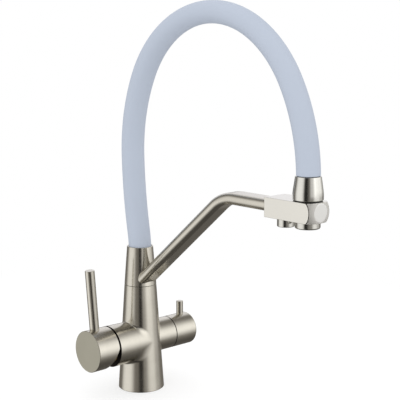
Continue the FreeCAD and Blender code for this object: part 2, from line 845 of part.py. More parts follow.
def make_valve_cap():
    """The valve's cap: a cup with a boss and a rounded end."""
    shape = bar(valve_r, valve_at(valve_cap_in), valve_at(valve_cap_out))
    shape = soften(shape, valve_cap_edge, lambda e: near(e.CenterOfMass.y, valve_cap_out))
    bore_r = valve_r - valve_cap_wall
    shape = shape.cut(bar(bore_r, valve_at(valve_cap_in - over), valve_at(valve_cap_out - valve_cap_end)))
    shape = shape.fuse(bar(valve_boss_r, valve_at(valve_boss_in), valve_at(valve_cap_out - valve_cap_end)))
    bite = valve_boss_in + spindle_bite
    shape = shape.cut(bar(spindle_r + fit_gap, valve_at(valve_boss_in - over), valve_at(bite)))
    grub_hole = bar(valve_grub_r + fit_gap, valve_at(valve_grub_s, rise=-valve_r - over), valve_at(valve_grub_s))
    pin_hole = bar(
        valve_pin_r + fit_gap,
        valve_at(valve_pin_s, rise=valve_boss_r),
        valve_at(valve_pin_s, rise=valve_r + over),
    )
    shank_hole = bar(
        valve_pin_shank_r + fit_gap,
        valve_at(valve_pin_s, rise=valve_pin_bite),
        valve_at(valve_pin_s, rise=valve_boss_r + over),
    )
    return shape.cut(grub_hole).cut(pin_hole).cut(shank_hole)


def make_valve_pin():
    """The short pin that turns the valve."""
    foot = valve_at(valve_pin_s, rise=valve_boss_r + seat_gap)
    shape = bar(valve_pin_r, foot, valve_at(valve_pin_s, rise=valve_pin_top))
    shape = bevel(shape, pin_edge, lambda e: near(e.CenterOfMass.z, branch_z + valve_pin_top))
    shank = bar(
        valve_pin_shank_r,
        valve_at(valve_pin_s, rise=valve_pin_bite + seat_gap),
        valve_at(valve_pin_s, rise=valve_boss_r + over),
    )
    return shape.fuse(shank)


def make_valve_grub():
    """The set screw that holds the valve's cap on its spindle."""
    return bar(
        valve_grub_r, valve_at(valve_grub_s, rise=-valve_boss_r), valve_at(valve_grub_s, rise=-spindle_r)
    )


def make_parts():
    """Every piece of the tap, by name."""
    low_ring, high_ring = oring_levels()
    return {
        "body": make_body(),
        "mixer_housing": make_mixer_housing(),
        "valve_housing": make_valve_housing(),
        "base_seal": make_base_seal(),
        "swivel_spigot": make_spigot(),
        "lower_bush": make_lower_bush(),
        "upper_bush": make_upper_bush(),
        "lower_oring": make_oring(low_ring),
        "upper_oring": make_oring(high_ring),
        "swivel_clip": make_clip(),
        "sleeve": make_sleeve(),
        "arm": make_arm(),
        "outlet_block": make_block(),
        "dock_bush": make_dock_bush(),
        "filtered_outlet": make_small_outlet(),
        "filtered_insert": make_small_insert(),
        "filtered_gasket": make_small_gasket(),
        "hose_root": make_hose_root(),
        "root_seal": make_root_seal(),
        "hose": hose_solid(hose_r, hose_bore_r, True),
        "hose_flex": hose_solid(hose_r, hose_bore_r, False),
        "water_line": hose_solid(line_r, line_bore_r, True),
        "water_line_flex": hose_solid(line_r, line_bore_r, False),
        "ferrule": make_ferrule(),
        "nozzle_body": make_nozzle(),
        "mixed_outlet": make_outlet(),
        "aerator": make_aerator(),
        "aerator_gasket": make_aerator_gasket(),
        "cartridge": make_cartridge(),
        "cartridge_seals": make_cartridge_seals(),
        "cartridge_nut": make_cartridge_nut(),
        "cartridge_rotor": make_rotor(),
        "cross_pin": make_cross_pin(),
        "cartridge_stem": make_stem(),
        "mixer_cap": make_mixer_cap(),
        "lever_pin": make_lever(),
        "mixer_set_screw": make_mixer_grub(),
        "valve_headwork": make_headwork(),
        "valve_seal": make_valve_seal(),
        "valve_spindle": make_spindle(),
        "valve_cap": make_valve_cap(),
        "valve_pin": make_valve_pin(),
        "valve_set_screw": make_valve_grub(),
    }


def main():
    """Writes one file per piece, and prints the hose's radii and where it begins to flex."""
    os.makedirs("parts", exist_ok=True)
    for name, shape in make_parts().items():
        shape.exportStep("parts/" + name + ".step")
    radii = [round(size, 1) for at, start, turn, size in hose_route()]
    print("hose bends and runs", radii, "flex from z", round(hose_parts(False)[0][0].z, 3))


main()
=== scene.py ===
"""A kitchen mixer tap: conical column, side mixer, filtered-water valve, swivel arm and silicone spout hose.

Sizes in the classes are in millimetres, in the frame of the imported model: the base stands on z = 0, the arm
points along +X, the mixer lever along -Y and the filtered-water valve along +Y. Meshes are made in metres.
"""

from __future__ import annotations

import json
import logging
import math
from dataclasses import dataclass, field
from enum import Enum
from typing import Any, Sequence

import bpy
import numpy as np
from mathutils import Matrix, Vector
from mathutils.geometry import delaunay_2d_cdt

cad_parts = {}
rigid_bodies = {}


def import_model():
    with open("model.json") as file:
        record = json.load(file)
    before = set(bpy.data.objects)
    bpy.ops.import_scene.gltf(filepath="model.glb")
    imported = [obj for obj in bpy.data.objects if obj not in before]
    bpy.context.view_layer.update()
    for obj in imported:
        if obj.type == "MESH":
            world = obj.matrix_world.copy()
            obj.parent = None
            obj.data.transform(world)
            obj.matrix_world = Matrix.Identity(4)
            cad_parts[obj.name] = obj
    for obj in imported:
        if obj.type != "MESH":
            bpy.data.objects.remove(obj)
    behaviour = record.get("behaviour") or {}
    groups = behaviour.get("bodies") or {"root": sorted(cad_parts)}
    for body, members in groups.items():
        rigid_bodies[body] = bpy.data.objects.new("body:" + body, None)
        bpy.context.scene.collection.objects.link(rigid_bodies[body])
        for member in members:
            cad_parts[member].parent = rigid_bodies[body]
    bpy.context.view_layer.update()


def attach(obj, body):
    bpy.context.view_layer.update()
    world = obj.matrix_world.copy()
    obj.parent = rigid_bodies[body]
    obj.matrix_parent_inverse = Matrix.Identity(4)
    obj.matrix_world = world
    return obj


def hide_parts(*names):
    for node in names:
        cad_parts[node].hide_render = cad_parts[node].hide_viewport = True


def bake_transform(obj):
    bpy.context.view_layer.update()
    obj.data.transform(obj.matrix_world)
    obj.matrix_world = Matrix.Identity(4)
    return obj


LOG = logging.getLogger("tap")
MM = 0.001
WHITE = "#FFFFFF"
X, Y, Z = np.eye(3)

Tree = bpy.types.NodeTree
Socket = bpy.types.NodeSocket
Triple = tuple[float, float, float]
# A turned outline: rows of radius, height and how far the corner is rounded, which is 0 at a smooth point.
Outline = Sequence[Triple]

# Steps round a large turned piece and round a small hole, and rows along a straight stretch.
ROUND = 144
SMALL_ROUND = 48
ROWS = 9
# A corner that turns by less than this many radians counts as smooth.
SMOOTH = 1e-4
# Points of a flat form closer than this are one, and nothing is divided by a length under the other.
CLOSE = 1e-7
TINY = 1e-9
# How many times closer the brush lines lie across the brush's way than along it.
ACROSS = 30.0


# ---------------------------------------------------------------- small helpers


def linear(code: str) -> tuple[float, float, float, float]:
    """Turns an sRGB hex code into a linear colour.

    Args:
        code: six hex digits, with or without a leading #.

    Returns:
        Linear red, green and blue, with an alpha of 1.
    """
    code = code.lstrip("#")
    channels = [int(code[i : i + 2], 16) / 255 for i in (0, 2, 4)]
    red, green, blue = (c / 12.92 if c <= 0.04045 else ((c + 0.055) / 1.055) ** 2.4 for c in channels)
    return (red, green, blue, 1.0)


def unit(vector: Sequence[float]) -> np.ndarray:
    """Returns the vector at length 1."""
    array = np.asarray(vector, float)
    return array / np.linalg.norm(array)


def turns(count: int) -> np.ndarray:
    """Returns even angles round a full turn."""
    return 2 * np.pi * np.arange(count) / count


def new_object(name: str, data: Any) -> bpy.types.Object:
    """Puts a new object into the scene.

    Args:
        name: the object's name.
        data: its mesh, curve, camera or light.

    Returns:
        The object.
    """
    made = bpy.data.objects.new(name, data)
    bpy.context.scene.collection.objects.link(made)
    return made


def new_mesh(name: str, points: Any, faces: Any, *materials: bpy.types.Material) -> bpy.types.Mesh:
    """Makes a mesh.

    Args:
        name: the mesh's name.
        points: its points in metres.
        faces: the numbers of each face's points.
        *materials: its materials in order.

    Returns:
        The mesh.
    """
    mesh = bpy.data.meshes.new(name)
    mesh.from_pydata(points, [], faces)
    for made in materials:
        mesh.materials.append(made)
    return mesh


def add_node(tree: Tree, kind: str, inputs: dict[Any, Any] | None = None, **settings: Any) -> Any:
    """Adds one node to a tree.

    Args:
        tree: the node tree.
        kind: the node's type name.
        inputs: sockets by name or number, each given a value or the socket to link from.
        **settings: attributes of the node.

    Returns:
        The new node.
    """
    made = tree.nodes.new(kind)
    for name, value in settings.items():
        setattr(made, name, value)
    for key, value in (inputs or {}).items():
        if isinstance(value, Socket):
            tree.links.new(value, made.inputs[key])
        else:
            made.inputs[key].default_value = value
    return made


def calc(tree: Tree, kind: str, a: Any, b: Any = 0.0) -> Socket:
    """Adds a math node and returns its result."""
    return add_node(tree, "ShaderNodeMath", {0: a, 1: b}, operation=kind).outputs[0]


def vector_calc(tree: Tree, kind: str, inputs: dict[Any, Any]) -> Any:
    """Adds a vector math node and returns its outputs."""
    return add_node(tree, "ShaderNodeVectorMath", inputs, operation=kind).outputs


def remap(
    tree: Tree, value: Any, reach: Sequence[float], to: Sequence[float], step: str = "LINEAR"
) -> Socket:
    """Adds a node that takes one reach of values to another, and returns its result."""
    ends = {"From Min": reach[0], "From Max": reach[1], "To Min": to[0], "To Max": to[1]}
    return add_node(tree, "ShaderNodeMapRange", {"Value": value, **ends}, interpolation_type=step).outputs[0]


def noise(tree: Tree, where: Socket, scale: float, detail: float, roughness: float = 0.5) -> Socket:
    """Adds a noise texture and returns its value."""
    inputs = {"Vector": where, "Scale": scale, "Detail": detail, "Roughness": roughness}
    return add_node(tree, "ShaderNodeTexNoise", inputs).outputs["Fac"]


def mix_colours(tree: Tree, factor: Any, a: Any, b: Any) -> Socket:
    """Adds a mix of two colours and returns it."""
    mixed = add_node(tree, "ShaderNodeMix", {"Factor": factor, "A": a, "B": b}, data_type="RGBA")
    return mixed.outputs["Result"]


def mix_shaders(tree: Tree, factor: Any, a: Socket, b: Socket) -> Socket:
    """Adds a mix of two shaders and returns it."""
    return add_node(tree, "ShaderNodeMixShader", {0: factor, 1: a, 2: b}).outputs[0]


def glow(tree: Tree, code: str, strength: float) -> Socket:
    """Adds a surface that gives light and returns its shader."""
    return add_node(tree, "ShaderNodeEmission", {"Color": linear(code), "Strength": strength}).outputs[0]


def matt(tree: Tree, code: str) -> Socket:
    """Adds a matt surface and returns its shader."""
    return add_node(tree, "ShaderNodeBsdfDiffuse", {"Color": linear(code)}).outputs[0]


def coordinates(tree: Tree, laid: bool = False) -> Socket:
    """Adds coordinates for a pattern.

    Args:
        tree: the material's node tree.
        laid: whether they are those of the piece laid out straight.

    Returns:
        Those, or else Object coordinates.
    """
    if laid:
        return add_node(tree, "ShaderNodeAttribute", attribute_name="laid_straight").outputs["Vector"]
    return add_node(tree, "ShaderNodeTexCoord").outputs["Object"]


def blank_material(name: str) -> tuple[bpy.types.Material, Tree]:
    """Makes an empty node material.

    Args:
        name: the material's name.

    Returns:
        The material and its tree.
    """
    made = bpy.data.materials.new(name)
    made.use_nodes = True
    made.node_tree.nodes.clear()
    return made, made.node_tree


# ---------------------------------------------------------------- finishes


class Grain(Enum):
    """Which way the brush or the cutting tool went, as relative closeness of its lines along X, Y and Z."""

    ROUND_Z = (1.0, 1.0, ACROSS)
    ROUND_Y = (1.0, ACROSS, 1.0)
    ALONG_X = (1.0, ACROSS, ACROSS)
    LAID_ALONG = (ACROSS, ACROSS, 1.0)
    EVEN = (12.0, 12.0, 12.0)


@dataclass(frozen=True)
class Finish:
    """A finish, which makes a material of its own name."""

    name: str

    def shader(self, tree: Tree) -> Socket:
        """Adds the finish to a material's tree and returns its shader."""
        raise NotImplementedError

    def material(self) -> bpy.types.Material:
        """Builds the material.

        Returns:
            A new material with the finish's shader.
        """
        made, tree = blank_material(self.name)
        add_node(tree, "ShaderNodeOutputMaterial", {"Surface": self.shader(tree)})
        return made


@dataclass(frozen=True)
class Skin(Finish):
    """One material's surface, which drifts between two tones."""

    colour: str
    shade: str
    roughness: float

    def lit(
        self, tree: Tree, tone: Socket, gloss: Socket, height: Socket, depth_mm: float, more: dict[str, float]
    ) -> Socket:
        """Adds the surface's shader.

        Args:
            tree: the material's node tree.
            tone: 0 for the shade and 1 for the colour.
            gloss: the roughness.
            height: the relief's height, from 0 to 1.
            depth_mm: how deep the relief is.
            more: other inputs of the shader.

        Returns:
            The shader.
        """
        relief = {"Strength": 1.0, "Distance": depth_mm * MM, "Height": height}
        inputs = {
            "Base Color": mix_colours(tree, tone, linear(self.shade), linear(self.colour)),
            "Roughness": gloss,
            "Normal": add_node(tree, "ShaderNodeBump", relief).outputs[0],
            **more,
        }
        return add_node(tree, "ShaderNodeBsdfPrincipled", inputs).outputs[0]


@dataclass(frozen=True)
class Metal(Skin):
    """A metal finish with fine brush lines, a slow drift of tone and slightly uneven gloss."""

    grain: Grain = Grain.EVEN
    line_mm: float = 0.5
    depth_mm: float = 0.004
    gloss_swing: float = 0.08
    laid: bool = False
    drift: float = 45.0
    gloss_reach: tuple[float, float] = (0.6, 1.4)
    tone_reach: tuple[float, float] = (0.7, 1.3)

    def shader(self, tree: Tree) -> Socket:
        """Adds the brush lines, the drift and what follows from them.

        Args:
            tree: the material's node tree.

        Returns:
            The shader.
        """
        where = coordinates(tree, self.laid)
        closeness = 1.0 / (self.line_mm * MM * ACROSS)
        scale = tuple(closeness * g for g in self.grain.value)
        brushed = add_node(tree, "ShaderNodeMapping", {"Vector": where, "Scale": scale}).outputs[0]
        lines = noise(tree, brushed, scale=1.0, detail=3.0, roughness=0.6)
        both = calc(tree, "ADD", lines, noise(tree, where, scale=self.drift, detail=2.0))
        swing = self.gloss_swing / 2
        gloss = remap(tree, both, self.gloss_reach, (self.roughness - swing, self.roughness + swing))
        tone = remap(tree, both, self.tone_reach, (0.0, 1.0))
        return self.lit(tree, tone, gloss, lines, self.depth_mm, {"Metallic": 1.0})


@dataclass(frozen=True)
class Polymer(Skin):
    """A plastic, rubber or silicone finish with a fine moulded skin and a faint drift of tone."""

    skin_mm: float = 0.4
    depth_mm: float = 0.01
    specular: float = 0.5
    laid: bool = False
    gloss_swing: float = 0.08
    drift: float = 30.0
    gloss_reach: tuple[float, float] = (0.3, 0.7)

    def shader(self, tree: Tree) -> Socket:
        """Adds the moulded skin, the drift and what follows from them.

        Args:
            tree: the material's node tree.

        Returns:
            The shader.
        """
        where = coordinates(tree, self.laid)
        skin = noise(tree, where, scale=1.0 / (self.skin_mm * MM), detail=2.0)
        tone = noise(tree, where, scale=self.drift, detail=3.0)
        swing = self.gloss_swing / 2
        gloss = remap(tree, skin, self.gloss_reach, (self.roughness - swing, self.roughness + swing))
        return self.lit(tree, tone, gloss, skin, self.depth_mm, {"Specular IOR Level": self.specular})


@dataclass(frozen=True)
class CapMetal(Finish):
    """A turned cap's finish: brushed side, rubbed end, and painted shade on the rear rim, in the wedge gap
    and inside.

    The edges are how far the end's finish and the painted shade of the rim and the bore reach past their
    faces. Below slope_rise the rim's painted shade widens at the slope, into the wedge gap under the cap. The
    painted shade inside ends before the cap's end by the wall.
    """

    side: Metal
    end: Metal
    # The painted shade at the rear rim, in the wedge gap and inside.
    inner: Metal
    axis_z: float
    end_s: float
    rim_s: float
    bore_r: float
    slope: float = 0.0
    slope_rise: float = 0.0
    end_edge: float = 0.06
    rim_shade_edge: float = 0.2
    bore_shade_edge: float = 0.05
    wall: float = 1.0

    def shader(self, tree: Tree) -> Socket:
        """Adds the side's and the end's finishes and the painted shade, told apart by Object coordinates.

        Args:
            tree: the material's node tree.

        Returns:
            The shader.
        """
        x, y, z = add_node(tree, "ShaderNodeSeparateXYZ", {0: coordinates(tree)}).outputs
        out = calc(tree, "ABSOLUTE", y)
        rise = calc(tree, "SUBTRACT", z, self.axis_z * MM)
        r = calc(tree, "SQRT", calc(tree, "ADD", calc(tree, "POWER", x, 2.0), calc(tree, "POWER", rise, 2.0)))
        at_end = calc(tree, "GREATER_THAN", out, (self.end_s - self.end_edge) * MM)
        # The rear rim, widened at the slope below slope_rise, and the bore short of the end get painted
        # shade.
        deep = calc(tree, "MAXIMUM", calc(tree, "SUBTRACT", self.slope_rise * MM, rise), 0.0)
        rear = calc(tree, "MULTIPLY", deep, math.tan(math.radians(self.slope)))
        rear_shade = calc(tree, "LESS_THAN", out, calc(tree, "ADD", rear, (self.rim_s + self.rim_shade_edge) * MM))
        within = calc(tree, "LESS_THAN", r, (self.bore_r + self.bore_shade_edge) * MM)
        before_end = calc(tree, "LESS_THAN", out, (self.end_s - self.wall) * MM)
        dark = calc(tree, "MAXIMUM", rear_shade, calc(tree, "MULTIPLY", within, before_end))
        shown = mix_shaders(tree, at_end, self.side.shader(tree), self.end.shader(tree))
        return mix_shaders(tree, dark, shown, self.inner.shader(tree))


@dataclass(frozen=True)
class BlockMetal(Finish):
    """The outlet block's finish: satin flats, a dull turned end with a painted dark reflection along its
    sharp step, and a whiter faced end.

    The edges are how far the faced end's and the flats' finish reach past their faces.
    """

    flats: Metal
    turned: Metal
    # The painted dark reflection along the turned end's step.
    step: Metal
    faced: Metal
    turned_x: float
    end_x: float
    half_w: float
    middle_z: float
    half_h: float
    painted_step_w: float = 0.55
    end_edge: float = 0.05
    flat_edge: float = 0.04

    def shader(self, tree: Tree) -> Socket:
        """Adds the three finishes and the painted reflection at the step, told apart by Object coordinates.

        Args:
            tree: the material's node tree.

        Returns:
            The shader.
        """
        x, y, z = add_node(tree, "ShaderNodeSeparateXYZ", {0: coordinates(tree)}).outputs
        side = calc(tree, "ABSOLUTE", y)
        rise = calc(tree, "ABSOLUTE", calc(tree, "SUBTRACT", z, self.middle_z * MM))
        at_end = calc(tree, "GREATER_THAN", x, (self.end_x - self.end_edge) * MM)
        beyond = calc(tree, "GREATER_THAN", x, self.turned_x * MM)
        off_side = calc(tree, "LESS_THAN", side, (self.half_w - self.flat_edge) * MM)
        off_top = calc(tree, "LESS_THAN", rise, (self.half_h - self.flat_edge) * MM)
        on_turned = calc(tree, "MULTIPLY", beyond, calc(tree, "MULTIPLY", off_side, off_top))
        # A narrow band along the turned end's sides gets the painted dark reflection.
        at_painted_step = calc(tree, "GREATER_THAN", side, (self.half_w - self.painted_step_w) * MM)
        on_painted_step = calc(tree, "MULTIPLY", on_turned, at_painted_step)
        shown = mix_shaders(tree, on_turned, self.flats.shader(tree), self.turned.shader(tree))
        shown = mix_shaders(tree, on_painted_step, shown, self.step.shader(tree))
        return mix_shaders(tree, at_end, shown, self.faced.shader(tree))


# Nickel plate on brass, brushed round the column as it turned: warm grey, with broad soft-edged bands.
COLUMN_NICKEL = Metal("brushed_nickel_column", "#DBD7CC", "#D1CDC2", 0.20, Grain.ROUND_Z)
# The same plate on the two branches and their caps, brushed round the branch.
BRANCH_NICKEL = Metal("brushed_nickel_branch", "#DBD7CC", "#D1CDC2", 0.22, Grain.ROUND_Y)
# The flat cap ends, rubbed on a fine belt: dull, so they show an even grey and no reflections.
CAP_END_NICKEL = Metal("belt_rubbed_nickel_end", "#C2BFB0", "#BAB7A8", 0.42, Grain.ALONG_X, 0.4)
# Painted shade: the faces in the seams' gaps and in the bores are coloured nearly black brown, with no
# reflections, to stand for the shade there.
PAINTED_GAP_SHADE = Metal("painted_shade_gaps_and_bores", "#35312B", "#26231F", 0.6, Grain.EVEN, 0.6, 0.02)
# The mixer's cap and the valve's cap, each one turned piece with three finishes, the third a painted shade at
# the rear rim and inside.
MIXER_CAP_NICKEL = CapMetal(
    "mixer_cap_nickel", BRANCH_NICKEL, CAP_END_NICKEL, PAINTED_GAP_SHADE, 55.9, 74.8, 47.7, 20.1, 25.0, 3.5
)
VALVE_CAP_NICKEL = CapMetal(
    "valve_cap_nickel", BRANCH_NICKEL, BRANCH_NICKEL, PAINTED_GAP_SHADE, 55.9, 69.7, 39.15, 15.7
)
# The arm, drawn through the brush lengthwise, so its lines run along it.
ARM_NICKEL = Metal("drawn_nickel_arm", "#DBD7CC", "#D1CDC2", 0.20, Grain.LAID_ALONG, laid=True)
# Satin nickel on the outlet block: paler and smoother, nearly white on its flats.
BLOCK_NICKEL = Metal("satin_nickel_block", "#EAE8E1", "#E5E3DC", 0.24, Grain.ALONG_X, 0.4, 0.002)
# The block's turned end, left as the lathe leaves it: dull, so it glows evenly.
BLOCK_TURNED = Metal("lathe_turned_nickel_block", "#FAF9F6", "#F5F4F1", 0.78, Grain.EVEN, 0.3, 0.004)
# Painted reflection: the sharp step where the turning runs out into the side flats is coloured dark, to stand
# for the dark side of the studio mirrored there.
PAINTED_STEP_REFLECTION = Metal("painted_step_reflection_block", "#4E4A43", "#443F39", 0.35, Grain.EVEN, 0.3, 0.002)
# The block's faced end, rubbed flat: nearly white.
BLOCK_END = Metal("faced_nickel_block", "#FCFCFA", "#F8F8F6", 0.40, Grain.EVEN, 0.3, 0.002)
# Polished satin nickel on the turned head parts: sharp-edged dark and light bands.
HEAD_NICKEL = Metal("turned_nickel_head", "#E3E2DC", "#DAD9D3", 0.13, Grain.ROUND_Z, 0.35, 0.0015, 0.05)
# The outlet block, milled from square bar, its end turned and faced, with a painted dark reflection at the
# step.
OUTLET_BLOCK_NICKEL = BlockMetal(
    "outlet_block_nickel", BLOCK_NICKEL, BLOCK_TURNED, PAINTED_STEP_REFLECTION, BLOCK_END, 258.0, 267.7, 14.6, 237.15, 9.75
)
# The lever pins, turned and brushed round.
PIN_NICKEL = Metal("brushed_nickel_pin", "#DBD7CC", "#D1CDC2", 0.18, Grain.ROUND_Z, 0.4)
# Machined brass fittings: yellow, with tool marks.
BRASS = Metal("machined_brass", "#D9B56A", "#CBA659", 0.25, Grain.ROUND_Z, 0.4)
# Plain stainless steel screws, pins and clip.
STAINLESS = Metal("stainless_steel", "#C9C8C5", "#BEBDBA", 0.28, Grain.EVEN, 0.4)
# Silicone hose cover: matt, even pale blue-grey, with no gloss streaks.
SILICONE = Polymer("matt_silicone", "#C4CDDC", "#C1CAD9", 0.62, 0.5, 0.008, 0.25, True)
# Clear-white water line inside the hose.
LINE_PLASTIC = Polymer("line_plastic", "#E6E6E0", "#DEDED8", 0.4, 0.6, 0.004, 0.5, True)
# Acetal bushes, cartridge and inserts: white and slightly waxy.
WHITE_ACETAL = Polymer("white_acetal", "#E4E4E0", "#DADAD6", 0.38)
# The dock liner, coloured black so that it shows as a dark line under the ferrule: painted shade in the gap
# there.
LINER_PAINTED_SHADE = Polymer("black_liner_painted_shade", "#1A1A19", "#141413", 0.45)
# Rubber seals and gaskets.
BLACK_RUBBER = Polymer("black_rubber", "#1E1E1D", "#171716", 0.65)


# ---------------------------------------------------------------- surfaces with exact normals


def right_of(way: np.ndarray) -> np.ndarray:
    """Returns the flat direction to the right of another."""
    return np.array((way[1], -way[0]))


def trace(outline: Outline, closed: bool, steps: int = 4) -> tuple[np.ndarray, np.ndarray]:
    """Follows a turned outline with its corners rounded, the material on its left.

    Args:
        outline: the corners in order, anticlockwise in radius and height.
        closed: whether the last corner joins the first.
        steps: pieces of each rounding.

    Returns:
        The points and the outward normals, each as rows of radius and height.
    """
    points: list[np.ndarray] = []
    normals: list[np.ndarray] = []
    places = [np.array(corner[:2], float) for corner in outline]
    for i, here in enumerate(places):
        rounding = outline[i][2]
        d_in = unit(here - places[i - 1]) if closed or i else None
        d_out = unit(places[(i + 1) % len(places)] - here) if closed or i < len(places) - 1 else None
        if d_in is None or d_out is None:
            points.append(here)
            normals.append(right_of(d_out if d_in is None else d_in))
            continue
        turn = math.atan2(d_in[0] * d_out[1] - d_in[1] * d_out[0], float(d_in @ d_out))
        if rounding <= 0 or abs(turn) < SMOOTH:
            points.append(here)
            normals.append(unit(right_of(d_in) + right_of(d_out)))
            continue
        side = math.copysign(1.0, turn)
        first = right_of(d_in)
        centre = here - d_in * rounding * math.tan(abs(turn) / 2) - first * side * rounding
        for k in range(steps + 1):
            c, s = math.cos(turn * k / steps), math.sin(turn * k / steps)
            n = np.array((first[0] * c - first[1] * s, first[0] * s + first[1] * c))
            points.append(centre + n * side * rounding)
            normals.append(n)
    return np.array(points), np.array(normals)


@dataclass(frozen=True)
class Spindle:
    """The axis that an outline is turned about, and the angle of its first point."""

    origin: Triple = (0.0, 0.0, 0.0)
    along: Triple = (0.0, 0.0, 1.0)
    start: float = 0.0

    def frame(self) -> tuple[np.ndarray, np.ndarray, np.ndarray, np.ndarray]:
        """Finds the directions that the outline is turned in.

        Returns:
            The origin, two directions across the axis, and the axis.
        """
        w = unit(self.along)
        u = unit(np.cross(Y if abs(w[1]) < 0.9 else Z, w))
        return np.array(self.origin), u, np.cross(w, u), w


@dataclass
class Shell:
    """A surface under construction, in millimetres, with an exact outward normal at each point.

    Points closer than weld become one.
    """

    points: list[np.ndarray] = field(default_factory=list)
    normals: list[np.ndarray] = field(default_factory=list)
    laid: list[np.ndarray] = field(default_factory=list)
    faces: list[tuple[int, ...]] = field(default_factory=list)
    marks: list[int] = field(default_factory=list)
    weld: float = 2e-4

    def grid(
        self, points: np.ndarray, normals: np.ndarray, mark: int = 0, laid: np.ndarray | None = None
    ) -> None:
        """Adds rows of points joined into quads, each row closed on itself.

        Args:
            points: rows x columns x 3.
            normals: the same shape.
            mark: the material's number.
            laid: coordinates for patterns, if they aren't the points themselves.
        """
        rows, columns = points.shape[:2]
        base = len(self.points)
        self.points.extend(points.reshape(-1, 3))
        self.normals.extend(normals.reshape(-1, 3))
        self.laid.extend((points if laid is None else laid).reshape(-1, 3))
        for i in range(rows - 1):
            a, b = base + i * columns, base + (i + 1) * columns
            for j in range(columns):
                k = (j + 1) % columns
                self.faces.append((a + j, a + k, b + k, b + j))
                self.marks.append(mark)

    def turn(
        self,
        outline: Outline,
        spindle: Spindle = Spindle(),
        segments: int = ROUND,
        closed: bool = False,
        steps: int = 4,
    ) -> None:
        """Adds an outline turned about an axis.

        Args:
            outline: the corners in order.
            spindle: the axis.
            segments: the number of steps round.
            closed: whether the outline closes on itself.
            steps: pieces of each rounding.
        """
        places, slants = trace(outline, closed, steps)
        if closed:
            places, slants = np.vstack((places, places[:1])), np.vstack((slants, slants[:1]))
        origin, u, v, w = spindle.frame()
        angles = spindle.start + turns(segments)
        spokes = np.cos(angles)[:, None] * u + np.sin(angles)[:, None] * v
        points = origin + places[:, 0, None, None] * spokes + places[:, 1, None, None] * w
        self.grid(points, slants[:, 0, None, None] * spokes + slants[:, 1, None, None] * w)

    def sheet(
        self,
        flat: Sequence[tuple[float, float]],
        edges: Sequence[tuple[int, int]],
        points: np.ndarray,
        normals: np.ndarray,
        holes: Sequence[np.ndarray],
    ) -> None:
        """Adds a surface triangulated in its flat form, left open inside its holes.

        Args:
            flat: the points in the flat form.
            edges: edges that the triangles must keep.
            points: the same points in space.
            normals: their normals.
            holes: outlines in the flat form that stay open.
        """
        made = delaunay_2d_cdt([Vector(p) for p in flat], list(edges), [], 0, CLOSE, True)
        used = [ids[0] if ids else -1 for ids in made[3]]
        base = len(self.points)
        self.points.extend(points)
        self.normals.extend(normals)
        self.laid.extend(points)
        table = np.asarray(flat, float)
        for face in made[2]:
            ids = [used[i] for i in face]
            if min(ids) < 0 or any(inside(table[ids].mean(axis=0), hole) for hole in holes):
                continue
            self.faces.append(tuple(base + i for i in ids))
            self.marks.append(0)

    def finish(self, name: str, *finishes: Finish) -> bpy.types.Object:
        """Welds the points, turns every face outwards and makes the object.

        Args:
            name: the object's name.
            *finishes: one finish per mark.

        Returns:
            The object, at the origin, in metres.
        """
        points, laid = np.array(self.points), np.array(self.laid)
        keys = np.round(points / self.weld).astype(np.int64)
        _, first, back = np.unique(keys, axis=0, return_index=True, return_inverse=True)
        back = back.reshape(-1)
        summed = np.zeros((len(first), 3))
        np.add.at(summed, back, np.array(self.normals))
        summed /= np.maximum(np.linalg.norm(summed, axis=1, keepdims=True), TINY)
        places = points[first]
        faces: list[tuple[int, ...]] = []
        marks: list[int] = []
        for face, mark in zip(self.faces, self.marks):
            ids = [int(back[i]) for i in face]
            ids = [v for i, v in enumerate(ids) if v != ids[i - 1]]
            if len(set(ids)) < 3:
                continue
            corners = places[ids]
            area = np.cross(corners[1] - corners[0], corners[2] - corners[0])
            if len(ids) == 4:
                area = area + np.cross(corners[2] - corners[0], corners[3] - corners[0])
            if float(area @ summed[ids].sum(axis=0)) < 0:
                ids.reverse()
            faces.append(tuple(ids))
            marks.append(mark)
        mesh = new_mesh(name, (places * MM).tolist(), faces, *(finish.material() for finish in finishes))
        mesh.polygons.foreach_set("material_index", marks)
        mesh.polygons.foreach_set("use_smooth", [True] * len(faces))
        layer = mesh.attributes.new("laid_straight", "FLOAT_VECTOR", "POINT")
        layer.data.foreach_set("vector", (laid[first] * MM).astype(np.float32).reshape(-1))
        mesh.normals_split_custom_set_from_vertices([Vector(n) for n in summed])
        return new_object(name, mesh)


def turned(
    name: str, finish: Finish, outline: Outline, spindle: Spindle, segments: int, closed: bool, steps: int = 4
) -> bpy.types.Object:
    """Makes one turned piece.

    Args:
        name: the piece's name.
        finish: its finish.
        outline: its corners in order.
        spindle: its axis.
        segments: the number of steps round.
        closed: whether the outline closes on itself.
        steps: pieces of each rounding.

    Returns:
        The piece.
    """
    shell = Shell()
    shell.turn(outline, spindle, segments, closed, steps)
    return shell.finish(name, finish)


def inside(point: np.ndarray, outline: np.ndarray) -> bool:
    """Tells whether a flat point lies inside a closed outline.

    Args:
        point: the point.
        outline: the outline's points in order.

    Returns:
        Whether it does.
    """
    x, y = point
    x0, y0 = outline[:, 0], outline[:, 1]
    x1, y1 = np.roll(x0, -1), np.roll(y0, -1)
    crosses = (y0 > y) != (y1 > y)
    with np.errstate(divide="ignore", invalid="ignore"):
        at = x0 + (y - y0) * (x1 - x0) / (y1 - y0)
    return bool(np.count_nonzero(crosses & (x < at)) % 2)


def loop_edges(start: int, count: int) -> list[tuple[int, int]]:
    """Returns the edges of a closed loop of points numbered from start."""
    return [(start + i, start + (i + 1) % count) for i in range(count)]


